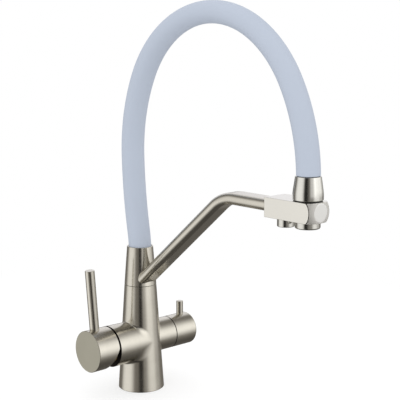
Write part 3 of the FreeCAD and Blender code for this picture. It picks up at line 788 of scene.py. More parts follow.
def plate(shell: Shell, radius: float, height: float, holes: Sequence[Triple], start: float) -> None:
    """Adds a flat round face looking down, with round holes.

    Args:
        shell: the surface that it joins.
        radius: of its rim.
        height: its z.
        holes: x, y and radius of each hole.
        start: the angle of the rim's first point.
    """
    flat = [(radius * math.cos(a), radius * math.sin(a)) for a in start + turns(ROUND)]
    edges = loop_edges(0, ROUND)
    outlines = []
    for x, y, r in holes:
        ring = [(x + r * math.cos(a), y + r * math.sin(a)) for a in turns(SMALL_ROUND)]
        edges += loop_edges(len(flat), SMALL_ROUND)
        flat += ring
        outlines.append(np.array(ring))
    points = np.array([(x, y, height) for x, y in flat])
    shell.sheet(flat, edges, points, np.tile(-Z, (len(points), 1)), outlines)


@dataclass(frozen=True)
class Cone:
    """A cone about the Z axis, given by its radius at two heights.

    Its wall has rows of points about a row apart, which keep clear of the wall's holes.
    """

    low: float
    low_r: float
    high: float
    high_r: float
    row: float = 2.5
    clear: float = 0.7

    @property
    def taper(self) -> float:
        """How much the radius shrinks per unit of height."""
        return (self.low_r - self.high_r) / (self.high - self.low)

    def radius(self, z: Any) -> Any:
        """The radius at a height."""
        return self.low_r - self.taper * (z - self.low)

    def normal(self, angle: np.ndarray) -> np.ndarray:
        """The outward normals at some angles."""
        lean = np.full_like(angle, math.atan(self.taper))
        return np.stack((np.cos(angle) * np.cos(lean), np.sin(angle) * np.cos(lean), np.sin(lean)), axis=-1)

    def keeps_off(self, at: np.ndarray, hole: np.ndarray) -> bool:
        """Whether a flat point lies outside a hole's outline and clear of it."""
        return np.min(np.linalg.norm(hole - at, axis=1)) > self.clear and not inside(at, hole)

    def wall(
        self, shell: Shell, z_low: float, z_high: float, holes: Sequence[np.ndarray], start: float
    ) -> None:
        """Adds the cone's wall between two heights, with holes in it.

        Args:
            shell: the surface that it joins.
            z_low: lower edge.
            z_high: upper edge.
            holes: closed loops of points on the cone.
            start: the angle of the seam, which lies in no hole.
        """
        middle = self.radius((z_low + z_high) / 2)
        angles = start + 2 * np.pi * np.arange(ROUND + 1) / ROUND
        rows = np.linspace(z_low, z_high, max(3, int((z_high - z_low) / self.row)))
        outlines, loops = [], []
        for hole in holes:
            around = (np.arctan2(hole[:, 1], hole[:, 0]) - start) % (2 * np.pi) + start
            loops.append(around)
            outlines.append(np.stack((around * middle, hole[:, 2]), axis=-1))
        places: list[tuple[float, float]] = []
        for i, z in enumerate(rows):
            for j, a in enumerate(angles):
                rim = i in (0, len(rows) - 1) or j in (0, ROUND)
                at = np.array((a * middle, z))
                if rim or all(self.keeps_off(at, outline) for outline in outlines):
                    places.append((a, z))
        edges: list[tuple[int, int]] = []
        for around, hole in zip(loops, holes):
            edges += loop_edges(len(places), len(hole))
            places += list(zip(around, hole[:, 2]))
        table = np.array(places)
        r = self.radius(table[:, 1])
        points = np.stack((r * np.cos(table[:, 0]), r * np.sin(table[:, 0]), table[:, 1]), axis=-1)
        flat = [(a * middle, z) for a, z in places]
        shell.sheet(flat, edges, points, self.normal(table[:, 0]), outlines)

    def cope(
        self, section: np.ndarray, slants: np.ndarray, along: np.ndarray, fillet: Any, steps: int = 8
    ) -> tuple[np.ndarray, np.ndarray]:
        """Rolls a ball into the corner between this cone and a bar that runs out of it.

        Args:
            section: points round the bar's section.
            slants: outward normals of the bar at those points.
            along: the bar's direction away from the cone, one for all points or one each.
            fillet: the ball's radius, one for all points or one each.
            steps: pieces across the fillet.

        Returns:
            The fillet's points and normals in rows, from the loop on the bar to the loop on the cone.
        """
        ways = np.broadcast_to(along, section.shape)
        size = np.broadcast_to(fillet, (len(section),))[:, None]
        q = section + slants * size
        reach = self.radius(q[:, 2]) + size[:, 0] / math.cos(math.atan(self.taper))
        a = ways[:, 0] ** 2 + ways[:, 1] ** 2 - (self.taper * ways[:, 2]) ** 2
        b = 2 * (q[:, 0] * ways[:, 0] + q[:, 1] * ways[:, 1] + self.taper * ways[:, 2] * reach)
        c = q[:, 0] ** 2 + q[:, 1] ** 2 - reach**2
        s = (-b + np.sqrt(np.maximum(b * b - 4 * a * c, 0))) / (2 * a)
        ball = q + s[:, None] * ways
        on_cone = self.normal(np.arctan2(ball[:, 1], ball[:, 0]))
        angle = np.arccos(np.clip(np.sum(slants * on_cone, axis=1), -1, 1))[:, None]
        rows, normals = [], []
        for t in np.arange(steps + 1) / steps:
            n = (np.sin((1 - t) * angle) * slants + np.sin(t * angle) * on_cone) / np.sin(angle)
            rows.append(ball - size * n)
            normals.append(n)
        return np.array(rows), np.array(normals)


# ---------------------------------------------------------------- sub-assemblies


def dress(made: bpy.types.Material, *nodes: str) -> None:
    """Puts one material on all slots of some CAD nodes.

    Args:
        made: the material.
        *nodes: the names of the nodes.
    """
    for materials in (bpy.data.objects[node].data.materials for node in nodes):
        for i in range(len(materials)):
            materials[i] = made


def stand_in(piece: bpy.types.Object, body: str, slot: str, *nodes: str) -> None:
    """Lets a piece ride on a body and stand for some CAD nodes.

    Args:
        piece: the piece.
        body: the body's name.
        slot: the slot's name; not used.
        *nodes: the names of the nodes.
    """
    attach(piece, body)
    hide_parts(*nodes)
    LOG.info("%s stands for %s on %s", piece.name, ", ".join(nodes), body)


@dataclass
class Column:
    """The fixed column: cone, mixer housing and valve housing as one smooth piece, and what is inside.

    Each mouth runs from the housing's rim inwards and is plated up to its first rounding; from there inwards
    it is painted dark, a painted shade in the seam's gap. The top runs inwards from the rim and the foot
    outwards from the hollow. Ports and studs are holes by x, y and radius.
    """

    cone: Cone = Cone(0.0, 26.0, 120.6, 18.0)
    branch_z: float = 55.9
    mixer_root_r: float = 22.2
    mixer_mouth: Outline = (
        (23.1, 44.8, 0), (23.1, 45.8, 0.35), (17.5, 45.8, 0.3), (17.5, 11.0, 0.2), (0, 11.0, 0),
    )
    valve_root_r: float = 18.5
    valve_mouth: Outline = (
        (18.5, 37.65, 0), (18.5, 38.65, 0.45), (13.3, 38.65, 0.3), (13.3, 31.8, 0.2),
        (10.15, 31.8, 0.2), (10.15, 12.0, 0.2), (0, 12.0, 0),
    )
    top: Outline = ((18.0, 120.6, 0.25), (10.55, 120.6, 0.3), (10.55, 99.8, 0.2), (0, 99.8, 0))
    foot: Outline = (
        (20.5, 28.0, 0.4), (20.5, 0.0, 0.2), (21.55, 0.0, 0.1), (21.55, 2.0, 0.1),
        (23.85, 2.0, 0.1), (23.85, 0.0, 0.1), (25.5, 0.0, 0.15),
    )
    chamfer: float = 0.5
    wall_low: float = 0.9
    wall_high: float = 119.8
    roof_r: float = 20.0
    roof_z: float = 28.0
    ports: Sequence[Triple] = ((0.0, 12.5, 5.0), (-8.0, -6.0, 5.0), (8.0, -6.0, 5.0))
    port_depth: float = 10.0
    studs: Sequence[Triple] = ((-13.0, 9.0, 3.0), (13.0, 9.0, 3.0))
    stud_depth: float = 12.0
    hole_edge: float = 0.3
    fillet: float = 2.2
    fillet_side: float = 40.0
    fillet_top: float = 1.6
    fillet_under: float = 3.0
    fillet_spread: float = 1.8
    seam: float = math.radians(165)

    def mixer_fillet(self) -> np.ndarray:
        """Works out the mixer housing's fillet: crisp on top, wide where it runs flush into the column.

        Returns:
            Its radius at each step round the root.
        """
        lift = np.sin(turns(ROUND))
        crown = np.where(lift > 0, self.fillet_top, self.fillet_under)
        return crown + (self.fillet_side - crown) * (1 - np.abs(lift)) ** self.fillet_spread

    def branch(self, shell: Shell, side: int, root_r: float, fillet: Any, inner: Outline) -> np.ndarray:
        """Adds one housing with its fillet.

        Args:
            shell: the surface that it joins.
            side: -1 for the mixer, 1 for the valve.
            root_r: the housing's radius at the column's axis.
            fillet: the fillet's radius, one for all or one for each point.
            inner: the outline of the mouth.

        Returns:
            The loop where the fillet ends on the cone.
        """
        angles = turns(ROUND)
        spokes = np.stack((np.cos(angles), np.zeros(ROUND), np.sin(angles)), axis=-1)
        along = Y * side
        middle = Z * self.branch_z
        r, mouth = inner[0][:2]
        flare = (r - root_r) / mouth
        slants = (spokes - along * flare) / math.hypot(1.0, flare)
        ways = (along + spokes * flare) / math.hypot(1.0, flare)
        rows, normals = self.cone.cope(spokes * root_r + middle, slants, ways, fillet)
        shell.grid(rows, normals, mark=1)
        rim = spokes * r + middle + along * mouth
        reach = np.array([rows[0] * (1 - t) + rim * t for t in np.linspace(0, 1, ROWS)])
        shell.grid(reach, np.tile(slants, (ROWS, 1, 1)), mark=1)
        outline, tilts = trace(inner, False)
        points = middle + outline[:, 0, None, None] * spokes + outline[:, 1, None, None] * along
        tilted = tilts[:, 0, None, None] * spokes + tilts[:, 1, None, None] * along
        shell.grid(points[:2], tilted[:2], mark=1)
        # From the first rounding inwards the mouth takes the third finish: painted shade in the seam's gap
        # and the bore.
        shell.grid(points[1:], tilted[1:], mark=2)
        return rows[-1]

    def casting(self) -> bpy.types.Object:
        """Builds the column and its housings.

        Returns:
            One closed surface.
        """
        shell = Shell()
        loops = [
            self.branch(shell, -1, self.mixer_root_r, self.mixer_fillet(), self.mixer_mouth),
            self.branch(shell, 1, self.valve_root_r, self.fillet, self.valve_mouth),
        ]
        low, high, cone = self.wall_low, self.wall_high, self.cone
        cone.wall(shell, low, high, loops, self.seam)
        spindle = Spindle(start=self.seam)
        shell.turn([(cone.radius(high), high, 0), *self.top], spindle)
        chamfer = (cone.radius(self.chamfer), self.chamfer, 0.15)
        shell.turn([(self.roof_r, self.roof_z, 0), *self.foot, chamfer, (cone.radius(low), low, 0)], spindle)
        mouths = [(x, y, r + self.hole_edge) for x, y, r in (*self.ports, *self.studs)]
        plate(shell, self.roof_r, self.roof_z, mouths, self.seam)
        for depth, holes in ((self.port_depth, self.ports), (self.stud_depth, self.studs)):
            z = -self.roof_z
            for x, y, r in holes:
                hole = ((r + self.hole_edge, z, 0), (r, z, 0.25), (r, z - depth, 0.1), (0, z - depth, 0))
                shell.turn(hole, Spindle((x, y, 0.0), (0.0, 0.0, -1.0)), SMALL_ROUND)
        return shell.finish("column_casting", COLUMN_NICKEL, BRANCH_NICKEL, PAINTED_GAP_SHADE)

    def build(self) -> None:
        """Builds the column and dresses the pieces inside it."""
        stand_in(self.casting(), "base", "brushed_nickel", "body", "mixer_housing", "valve_housing")
        rubber = BLACK_RUBBER.material()
        dress(rubber, "base_seal", "lower_oring", "upper_oring", "cartridge_seals", "valve_seal")
        dress(WHITE_ACETAL.material(), "lower_bush", "upper_bush", "cartridge", "cartridge_rotor")
        dress(BRASS.material(), "swivel_spigot", "cartridge_nut", "valve_headwork", "valve_spindle")
        dress(STAINLESS.material(), "swivel_clip", "cartridge_stem", "cross_pin")


@dataclass(frozen=True)
class Pin:
    """A turned bar on a cap: radius, both ends along its axis, its free end's rounding and steps round."""

    r: float
    low: float
    top: float
    rounding: float
    around: int

    def build(self, name: str, origin: Triple, lean: float = 0.0) -> bpy.types.Object:
        """Builds the pin.

        Args:
            name: the piece's name.
            origin: where its axis meets the cap's.
            lean: how far it leans out along -Y per unit of height.

        Returns:
            The piece.
        """
        stretch = math.hypot(1.0, lean)
        low, top = self.low * stretch, self.top * stretch
        outline = ((0, low, 0), (self.r, low, 0.2), (self.r, top, self.rounding), (0, top, 0))
        spindle = Spindle(origin, (0.0, -lean, 1.0))
        return turned(name, PIN_NICKEL, outline, spindle, self.around, closed=False, steps=6)


@dataclass
class MixerLever:
    """The mixer's cap, its lever pin and its set screw."""

    pin: Pin = Pin(5.3, 8.3, 90.7, 0.6, 96)
    lean: float = math.tan(math.radians(4.34))
    branch_z: float = 55.9
    axis_s: float = 65.1
    cap_r: float = 23.1

    def build(self) -> None:
        """Builds the lever and dresses the cap."""
        origin = (0.0, -(self.axis_s - self.lean * self.cap_r), self.branch_z)
        lever = self.pin.build("lever_pin_turned", origin, self.lean)
        stand_in(lever, "mixer_lever", "brushed_nickel", "lever_pin")
        dress(MIXER_CAP_NICKEL.material(), "mixer_cap")
        dress(STAINLESS.material(), "mixer_set_screw")


@dataclass
class FilteredValve:
    """The filtered-water valve's cap, pin and set screw."""

    pin: Pin = Pin(4.0, 7.8, 34.0, 0.5, 72)
    branch_z: float = 55.9
    pin_s: float = 58.6

    def build(self) -> None:
        """Builds the pin and dresses the cap."""
        upright = self.pin.build("valve_pin_turned", (0.0, self.pin_s, self.branch_z))
        stand_in(upright, "valve_handle", "brushed_nickel", "valve_pin")
        dress(VALVE_CAP_NICKEL.material(), "valve_cap")
        dress(STAINLESS.material(), "valve_set_screw")


def across(pairs: np.ndarray, angle: float, at: Any = 0.0) -> np.ndarray:
    """Stands flat pairs across the arm where it climbs at an angle: the first along Y, the second upwards."""
    rise = np.array((-math.sin(angle), 0.0, math.cos(angle)))
    return at + pairs[:, :1] * Y + pairs[:, 1:] * rise


@dataclass
class Spout:
    """The swivel sleeve with its welded arm, the outlet block, the filtered outlet and the hose."""

    cone: Cone = Cone(120.95, 18.0, 164.5, 14.6)
    rim: Outline = (
        (14.6, 164.5, 0.45), (13.05, 164.5, 0.3), (13.05, 150.0, 0.1), (12.0, 150.0, 0.1),
        (12.0, 127.9, 0.1), (13.03, 127.9, 0.1), (13.03, 120.95, 0.2), (18.0, 120.95, 0.2),
    )
    wall_low: float = 121.45
    wall_high: float = 163.7
    seam: float = math.pi
    arm_w: float = 25.0
    arm_h: float = 12.0
    slope: float = math.radians(39.8)
    bend_r: float = 44.0
    root_z: float = 119.15
    level_z: float = 237.85
    end_x: float = 212.2
    fillet: float = 0.4
    outlet_x: float = 223.5
    outlet: Outline = (
        (8.4, 218.5, 0.9), (8.4, 227.38, 0.1), (6.0, 227.38, 0.1), (6.0, 232.4, 0.3),
        (4.0, 232.4, 0.3), (4.0, 224.5, 0.1), (6.0, 224.5, 0.1), (6.0, 218.5, 0.3),
    )
    arc_steps: int = 16
    side_steps: int = 10
    bend_steps: int = 32

    def oval(self) -> tuple[np.ndarray, np.ndarray]:
        """Follows the arm's section.

        Returns:
            Its points as offsets along Y and across it, and its normals.
        """
        r = self.arm_h / 2
        half = self.arm_w / 2 - r
        flat, slants = [], []
        for side in (1, -1):
            for k in range(self.arc_steps + 1):
                a = side * math.pi / 2 - math.pi * k / self.arc_steps
                flat.append((side * half + r * math.cos(a), r * math.sin(a)))
                slants.append((math.cos(a), math.sin(a)))
            for k in range(1, self.side_steps):
                flat.append((side * half * (1 - 2 * k / self.side_steps), -side * r))
                slants.append((0.0, -float(side)))
        return np.array(flat), np.array(slants)

    def path(self) -> list[tuple[np.ndarray, float, float]]:
        """Follows the arm's axis from the start of its bend to its end in the block.

        Returns:
            Places with the angle of climb and the run from the root at each.
        """
        foot = Z * self.root_z
        along = np.array((math.cos(self.slope), 0.0, math.sin(self.slope)))
        corner = np.array(((self.level_z - self.root_z) / math.tan(self.slope), 0.0, self.level_z))
        tangent = self.bend_r * math.tan(self.slope / 2)
        centre = corner + X * tangent - Z * self.bend_r
        straight = float((corner - foot) @ along) - tangent
        stations = []
        for a in self.slope * (1 - np.arange(self.bend_steps + 1) / self.bend_steps):
            place = centre + self.bend_r * np.array((-math.sin(a), 0, math.cos(a)))
            stations.append((place, float(a), straight + self.bend_r * (self.slope - a)))
        level, _, run = stations[-1]
        for length in (self.end_x - level[0]) * np.linspace(0.25, 1.0, 4):
            stations.append((level + X * length, 0.0, run + length))
        return stations

    def arm_and_sleeve(self) -> bpy.types.Object:
        """Builds the sleeve, the weld fillet and the arm.

        Returns:
            One closed surface, with coordinates that lay the arm out straight.
        """
        shell = Shell()
        flat, slants = self.oval()
        along = np.array((math.cos(self.slope), 0.0, math.sin(self.slope)))
        foot = Z * self.root_z
        spokes = across(slants, self.slope)
        rows, normals = self.cone.cope(across(flat, self.slope, foot), spokes, along, self.fillet)
        laid = np.dstack((*(np.tile(flat[:, i], (len(rows), 1)) for i in (0, 1)), (rows - foot) @ along))
        shell.grid(rows, normals, mark=1, laid=laid)
        stations = self.path()
        first = across(flat, self.slope, foot + stations[0][2] * along)
        points, tilts, laid_out = [], [], []
        for t in np.linspace(0, 1, ROWS)[:-1]:
            points.append(rows[0] * (1 - t) + first * t)
            tilts.append(spokes)
            laid_out.append(np.column_stack((flat, (points[-1] - foot) @ along)))
        for place, a, run in stations:
            points.append(across(flat, a, place))
            tilts.append(across(slants, a))
            laid_out.append(np.column_stack((flat, np.full(len(flat), run))))
        points.append(np.tile(stations[-1][0], (len(flat), 1)))
        tilts.append(np.tile(X, (len(flat), 1)))
        laid_out.append(np.column_stack((flat * 0, np.full(len(flat), stations[-1][2]))))
        shell.grid(np.array(points), np.array(tilts), mark=1, laid=np.array(laid_out))
        low, high, cone = self.wall_low, self.wall_high, self.cone
        cone.wall(shell, low, high, [rows[-1]], self.seam)
        rim = [(cone.radius(high), high, 0), *self.rim, (cone.radius(low), low, 0)]
        shell.turn(rim, Spindle(start=self.seam))
        return shell.finish("sleeve_and_arm", COLUMN_NICKEL, ARM_NICKEL)

    def build(self) -> None:
        """Builds the spout's pieces and dresses the others."""
        stand_in(self.arm_and_sleeve(), "spout", "brushed_nickel", "sleeve", "arm")
        spindle = Spindle((self.outlet_x, 0.0, 0.0))
        ring = turned("filtered_outlet_ring", HEAD_NICKEL, self.outlet, spindle, segments=96, closed=True)
        stand_in(ring, "spout", "satin_nickel", "filtered_outlet")
        dress(OUTLET_BLOCK_NICKEL.material(), "outlet_block")
        # The liner's black is painted shade in the gap under the ferrule.
        dress(LINER_PAINTED_SHADE.material(), "dock_bush")
        dress(BLACK_RUBBER.material(), "filtered_gasket")
        dress(BLACK_RUBBER.material(), "root_seal")
        dress(BRASS.material(), "hose_root")
        hose = Tube("silicone_hose", 12.65, 64, SILICONE, 0.6, 11.6).build()
        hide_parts("hose", "hose_flex")
        line = Tube("inner_water_line", 7.0, 32, LINE_PLASTIC, 0.3, 7.0).build()
        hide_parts("water_line", "water_line_flex")
        for tube in (hose, line):
            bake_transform(tube)
            LOG.info("%s bends from the spout to the spray head", tube.name)


# ---------------------------------------------------------------- pieces made by node trees


def node_group(name: str, kinds: dict[str, str]) -> tuple[Tree, Any]:
    """Makes a geometry tree that takes a geometry and some named inputs.

    Args:
        name: the tree's name.
        kinds: the type of each input by name.

    Returns:
        The tree, and its inputs by name.
    """
    tree = bpy.data.node_groups.new(name, "GeometryNodeTree")
    for label, kind in {"Geometry": "Geometry", **kinds}.items():
        tree.interface.new_socket(label, in_out="INPUT", socket_type="NodeSocket" + kind)
    tree.interface.new_socket("Geometry", in_out="OUTPUT", socket_type="NodeSocketGeometry")
    return tree, add_node(tree, "NodeGroupInput").outputs


def hand_over(tree: Tree, geometry: Socket, finish: Socket) -> None:
    """Ends a geometry tree with plain geometry in one material.

    Args:
        tree: the node tree.
        geometry: the geometry.
        finish: the material.
    """
    real = add_node(tree, "GeometryNodeRealizeInstances", {"Geometry": geometry})
    worn = add_node(tree, "GeometryNodeSetMaterial", {"Geometry": real.outputs[0], "Material": finish})
    add_node(tree, "NodeGroupOutput", {"Geometry": worn.outputs[0]})


def ring_curve(tree: Tree, count: Any, radius: Any) -> Socket:
    """Adds a circle and returns its curve."""
    circle = add_node(tree, "GeometryNodeCurvePrimitiveCircle", {"Resolution": count, "Radius": radius})
    return circle.outputs["Curve"]


def hoop(tree: Tree, curve: Socket, width: Any, height: Any) -> Socket:
    """Sweeps a flat bar along a curve.

    Args:
        tree: the node tree.
        curve: the curve.
        width: the bar's width.
        height: the bar's height.

    Returns:
        The bar's surface.
    """
    bar = add_node(tree, "GeometryNodeCurvePrimitiveQuadrilateral", {"Width": width, "Height": height})
    swept = {"Curve": curve, "Profile Curve": bar.outputs[0]}
    return add_node(tree, "GeometryNodeCurveToMesh", swept).outputs[0]


def captured(tree: Tree, geometry: Socket, kind: str, value: Socket) -> Any:
    """Keeps a value on some geometry.

    Args:
        tree: the node tree.
        geometry: the geometry.
        kind: the value's type.
        value: the value.

    Returns:
        The outputs: the geometry first, then the kept value by the name Kept.
    """
    made = add_node(tree, "GeometryNodeCaptureAttribute", {0: geometry})
    made.capture_items.new(kind, "Kept")
    tree.links.new(value, made.inputs["Kept"])
    return made.outputs


def applied(name: str, data: Any, tree: Tree, values: dict[str, Any]) -> bpy.types.Object:
    """Runs a node tree on some data and keeps the result as a plain mesh.

    Args:
        name: the new object's name.
        data: the mesh or curve that the tree starts from.
        tree: the node tree.
        values: its inputs by name.

    Returns:
        The object with the finished mesh.
    """
    source = new_object(name + "_source", data)
    modifier = source.modifiers.new("tree", "NODES")
    modifier.node_group = tree
    for item in tree.interface.items_tree:
        if item.in_out == "INPUT" and item.name in values:
            modifier[item.identifier] = values[item.name]
    graph = bpy.context.evaluated_depsgraph_get()
    final = source.evaluated_get(graph)
    mesh = bpy.data.meshes.new_from_object(final, preserve_all_data_layers=True, depsgraph=graph)
    mesh.name = name
    bpy.data.objects.remove(source)
    return new_object(name, mesh)


@dataclass
class Tube:
    """A tube along the hose's route, made by a node tree from the route and a round section.

    It narrows to its end radius between two places on its run. Bends are radius and the heading they end on,
    in degrees from +Z towards +X, and are scaled together to end over the dock.
    """

    name: str
    radius: float
    around: int
    finish: Polymer
    rounding: float
    end_radius: float
    taper_from: float = 190.0
    taper_to: float = 330.0
    foot_z: float = 158.10
    bends: Sequence[tuple[float, float]] = (
        (126.3, -10.4), (552.1, -1.5), (187.4, 26.4), (122.2, 120.9),
        (130.3, 150.0), (186.4, 177.0), (57.1, 180.0),
    )
    dock_x: float = 251.5
    end_z: float = 270.5
    step: float = 2.5
    end_gap: float = 1.2
    end_steps: int = 5

    def route(self) -> tuple[np.ndarray, np.ndarray]:
        """Works out the centreline.

        Returns:
            Its points, and the share of the full radius at each, which falls at both cut ends.
        """
        points = [np.array((0.0, self.foot_z))]
        last = 0.0
        for r, to in self.bends:
            side = math.copysign(1.0, to - last)
            count = max(4, int(abs(math.radians(to - last)) * r / self.step))
            angles = np.radians(last + (to - last) * np.arange(count + 1) / count)
            ways = side * r * np.column_stack((np.cos(angles), -np.sin(angles)))
            points.extend(points[-1] + ways[0] - ways[1:])
            last = to
        path = np.array(points)
        scale = self.dock_x / path[-1, 0]
        path = np.column_stack((path[:, 0] * scale, self.foot_z + (path[:, 1] - self.foot_z) * scale))
        path = np.vstack((path, (self.dock_x, self.end_z)))
        runs = np.concatenate(((0.0,), np.cumsum(np.linalg.norm(np.diff(path, axis=0), axis=1))))
        total, gap = runs[-1], self.end_gap
        angles = (math.pi / 2 * k / self.end_steps for k in range(self.end_steps + 1))
        ends = [self.rounding * (1 - math.cos(a)) for a in angles]
        between = [s for s in runs if gap < s < total - gap]
        places = np.array(sorted({*ends, *(total - e for e in ends), *between}))
        x, z = (np.interp(places, runs, path[:, i]) for i in (0, 1))
        short = np.maximum(self.rounding - np.minimum(places, total - places), 0)
        inset = self.rounding - np.sqrt(np.maximum(self.rounding**2 - short**2, 0))
        slim = np.clip((places - self.taper_from) / (self.taper_to - self.taper_from), 0, 1)
        size = self.radius + (self.end_radius - self.radius) * slim * slim * (3 - 2 * slim)
        return np.column_stack((x, np.zeros(len(x)), z)), (size - inset) / self.radius

    def tree(self) -> Tree:
        """Builds the node tree.

        Returns:
            A tree that sweeps a round section along a route and lays its coordinates out straight.
        """
        kinds = {"Radius": "Float", "Around": "Int", "Finish": "Material"}
        tree, given = node_group(self.name + "_sweep", kinds)
        spot = add_node(tree, "GeometryNodeInputPosition").outputs[0]
        ring = captured(tree, ring_curve(tree, given["Around"], given["Radius"]), "VECTOR", spot)
        run = add_node(tree, "GeometryNodeSplineParameter").outputs["Length"]
        path = captured(tree, given["Geometry"], "FLOAT", run)
        ends = {"Curve": path[0], "Profile Curve": ring[0], "Fill Caps": True}
        sweep = add_node(tree, "GeometryNodeCurveToMesh", ends)
        if "Scale" in sweep.inputs:
            tree.links.new(add_node(tree, "GeometryNodeInputRadius").outputs[0], sweep.inputs["Scale"])
        parts = add_node(tree, "ShaderNodeSeparateXYZ", {0: ring["Kept"]}).outputs
        laid = add_node(tree, "ShaderNodeCombineXYZ", {0: parts[0], 1: parts[1], 2: path["Kept"]})
        kept = add_node(
            tree,
            "GeometryNodeStoreNamedAttribute",
            {"Geometry": sweep.outputs[0], "Name": "laid_straight"},
            data_type="FLOAT_VECTOR",
            domain="POINT",
        )
        tree.links.new(laid.outputs[0], next(s for s in kept.inputs if s.name == "Value" and s.enabled))
        smooth = add_node(tree, "GeometryNodeSetShadeSmooth", {"Geometry": kept.outputs[0]})
        hand_over(tree, smooth.outputs[0], given["Finish"])
        return tree

    def build(self) -> bpy.types.Object:
        """Builds the tube.

        Returns:
            A plain mesh.
        """
        points, share = self.route()
        curve = bpy.data.curves.new(self.name + "_route", "CURVE")
        curve.dimensions = "3D"
        spline = curve.splines.new("POLY")
        spline.points.add(len(points) - 1)
        for point, place, part in zip(spline.points, points * MM, share):
            point.co = (*place, 1.0)
            point.radius = float(part)
        values = {"Radius": self.radius * MM, "Around": self.around, "Finish": self.finish.material()}
        return applied(self.name, curve, self.tree(), values)


@dataclass
class Strainer:
    """The comb of small cells in an outlet, with its rim, made by a node tree.

    The cell is the distance between two cells. Side, web, inset and row are shares of it: a cell's side, the
    wall between two cells, how far the rim is set in, and the distance between two rows.
    """

    name: str
    x: float
    low: float
    radius: float
    depth: float
    cell: float
    clearance: float = 0.35
    side: float = 0.577
    web: float = 0.14
    inset: float = 0.3
    row: float = 0.866
    rim_steps: int = 72

    def tree(self) -> Tree:
        """Builds the node tree.

        Returns:
            A tree that puts six-sided cells on an offset grid, cuts them to a circle and adds a rim.
        """
        kinds = {"Radius": "Float", "Depth": "Float", "Cell": "Float", "Finish": "Material"}
        tree, given = node_group(self.name + "_comb", kinds)
        radius, depth, cell = given["Radius"], given["Depth"], given["Cell"]
        spot = add_node(tree, "GeometryNodeInputPosition").outputs[0]
        away = vector_calc(tree, "LENGTH", {0: spot})["Value"]
        reach = {0: away, 1: calc(tree, "SUBTRACT", radius, cell)}
        far = add_node(tree, "FunctionNodeCompare", reach, operation="GREATER_THAN").outputs[0]
        cut = {"Geometry": given["Geometry"], "Selection": far}
        kept = add_node(tree, "GeometryNodeDeleteGeometry", cut, domain="POINT")
        six = ring_curve(tree, 6, calc(tree, "MULTIPLY", cell, self.side))
        hexagon = hoop(tree, six, calc(tree, "MULTIPLY", cell, self.web), depth)
        spread = {"Points": kept.outputs[0], "Instance": hexagon}
        cells = add_node(tree, "GeometryNodeInstanceOnPoints", spread)
        rim_r = calc(tree, "SUBTRACT", radius, calc(tree, "MULTIPLY", cell, self.inset))
        both = add_node(tree, "GeometryNodeJoinGeometry")
        tree.links.new(cells.outputs[0], both.inputs[0])
        tree.links.new(hoop(tree, ring_curve(tree, self.rim_steps, rim_r), cell, depth), both.inputs[0])
        hand_over(tree, both.outputs[0], given["Finish"])
        return tree

    def build(self) -> bpy.types.Object:
        """Builds the comb.

        Returns:
            A plain mesh where it belongs.
        """
        rows = int(self.radius / (self.cell * self.row)) + 1
        spots = [
            ((i + 0.5 * (j % 2)) * self.cell * MM, j * self.cell * self.row * MM, 0.0)
            for j in range(-rows, rows + 1)
            for i in range(-rows - 1, rows + 2)
        ]
        sizes = {"Radius": self.radius - self.clearance, "Depth": self.depth, "Cell": self.cell}
        values = {name: size * MM for name, size in sizes.items()}
        values["Finish"] = WHITE_ACETAL.material()
        piece = applied(self.name, new_mesh(self.name + "_spots", spots, []), self.tree(), values)
        piece.data.transform(Matrix.Translation((self.x * MM, 0.0, (self.low + self.depth / 2) * MM)))
        return piece


@dataclass
class SprayHead:
    """The docked spray head: flared ferrule, nozzle, outlet ring and aerator, and the filtered outlet's comb.

    The ferrule's wall is straight over the foot and then flares inwards to the top, where its bore begins.
    """

    x: float = 251.5
    foot: float = 248.0
    top: float = 270.2
    foot_r: float = 14.7
    top_r: float = 12.4
    straight: float = 2.7
    flare_r: float = 50.0
    nozzle_r: float = 9.55
    flare_steps: int = 16
    bore: Outline = (
        (5.0, 270.2, 0.2), (5.0, 265.2, 0.1), (9.55, 265.2, 0.1), (9.55, 257.0, 0.1),
        (11.35, 257.0, 0.1), (11.35, 252.0, 0.1), (9.55, 252.0, 0.1),
    )
    outlet: Outline = (
        (10.4, 220.7, 0.3), (12.2, 220.7, 1.6), (12.2, 248.0, 0.2), (9.55, 248.0, 0.2),
        (9.55, 239.0, 0.1), (5.2, 239.0, 0.1), (5.2, 230.7, 0.1), (10.4, 230.7, 0.1),
    )

    def ferrule(self) -> Outline:
        """Works out the flared ferrule, bored for the nozzle and the water line.

        Returns:
            Its outline.
        """
        low = self.foot + self.straight
        tall = self.top - low
        off = self.flare_r - (self.foot_r - self.top_r)
        angle = math.atan2(tall, off) - math.acos(min(1.0, self.flare_r / math.hypot(off, tall)))
        flare = [
            (self.foot_r - self.flare_r * (1 - math.cos(a)), low + self.flare_r * math.sin(a), 0)
            for a in angle * np.arange(self.flare_steps + 1) / self.flare_steps
        ]
        base = ((self.nozzle_r, self.foot, 0.2), (self.foot_r, self.foot, 0.6))
        return (*base, *flare, (self.top_r, self.top, 0.3), *self.bore)

    def build(self) -> None:
        """Builds the head's pieces and dresses the others."""
        spindle = Spindle((self.x, 0.0, 0.0))
        ferrule = turned("ferrule_turned", HEAD_NICKEL, self.ferrule(), spindle, ROUND, closed=True, steps=5)
        stand_in(ferrule, "spray_head", "satin_nickel", "ferrule")
        outlet = turned("mixed_outlet_ring", HEAD_NICKEL, self.outlet, spindle, ROUND, closed=True, steps=6)
        stand_in(outlet, "spray_head", "satin_nickel", "mixed_outlet")
        aerator = Strainer("aerator_comb", self.x, 221.5, 10.35, 8.0, 1.7)
        stand_in(aerator.build(), "spray_head", "white_plastic", "aerator")
        insert = Strainer("filtered_comb", 223.5, 219.3, 5.95, 4.0, 1.3)
        stand_in(insert.build(), "spout", "white_plastic", "filtered_insert")
        dress(BRASS.material(), "nozzle_body")
        dress(BLACK_RUBBER.material(), "aerator_gasket")


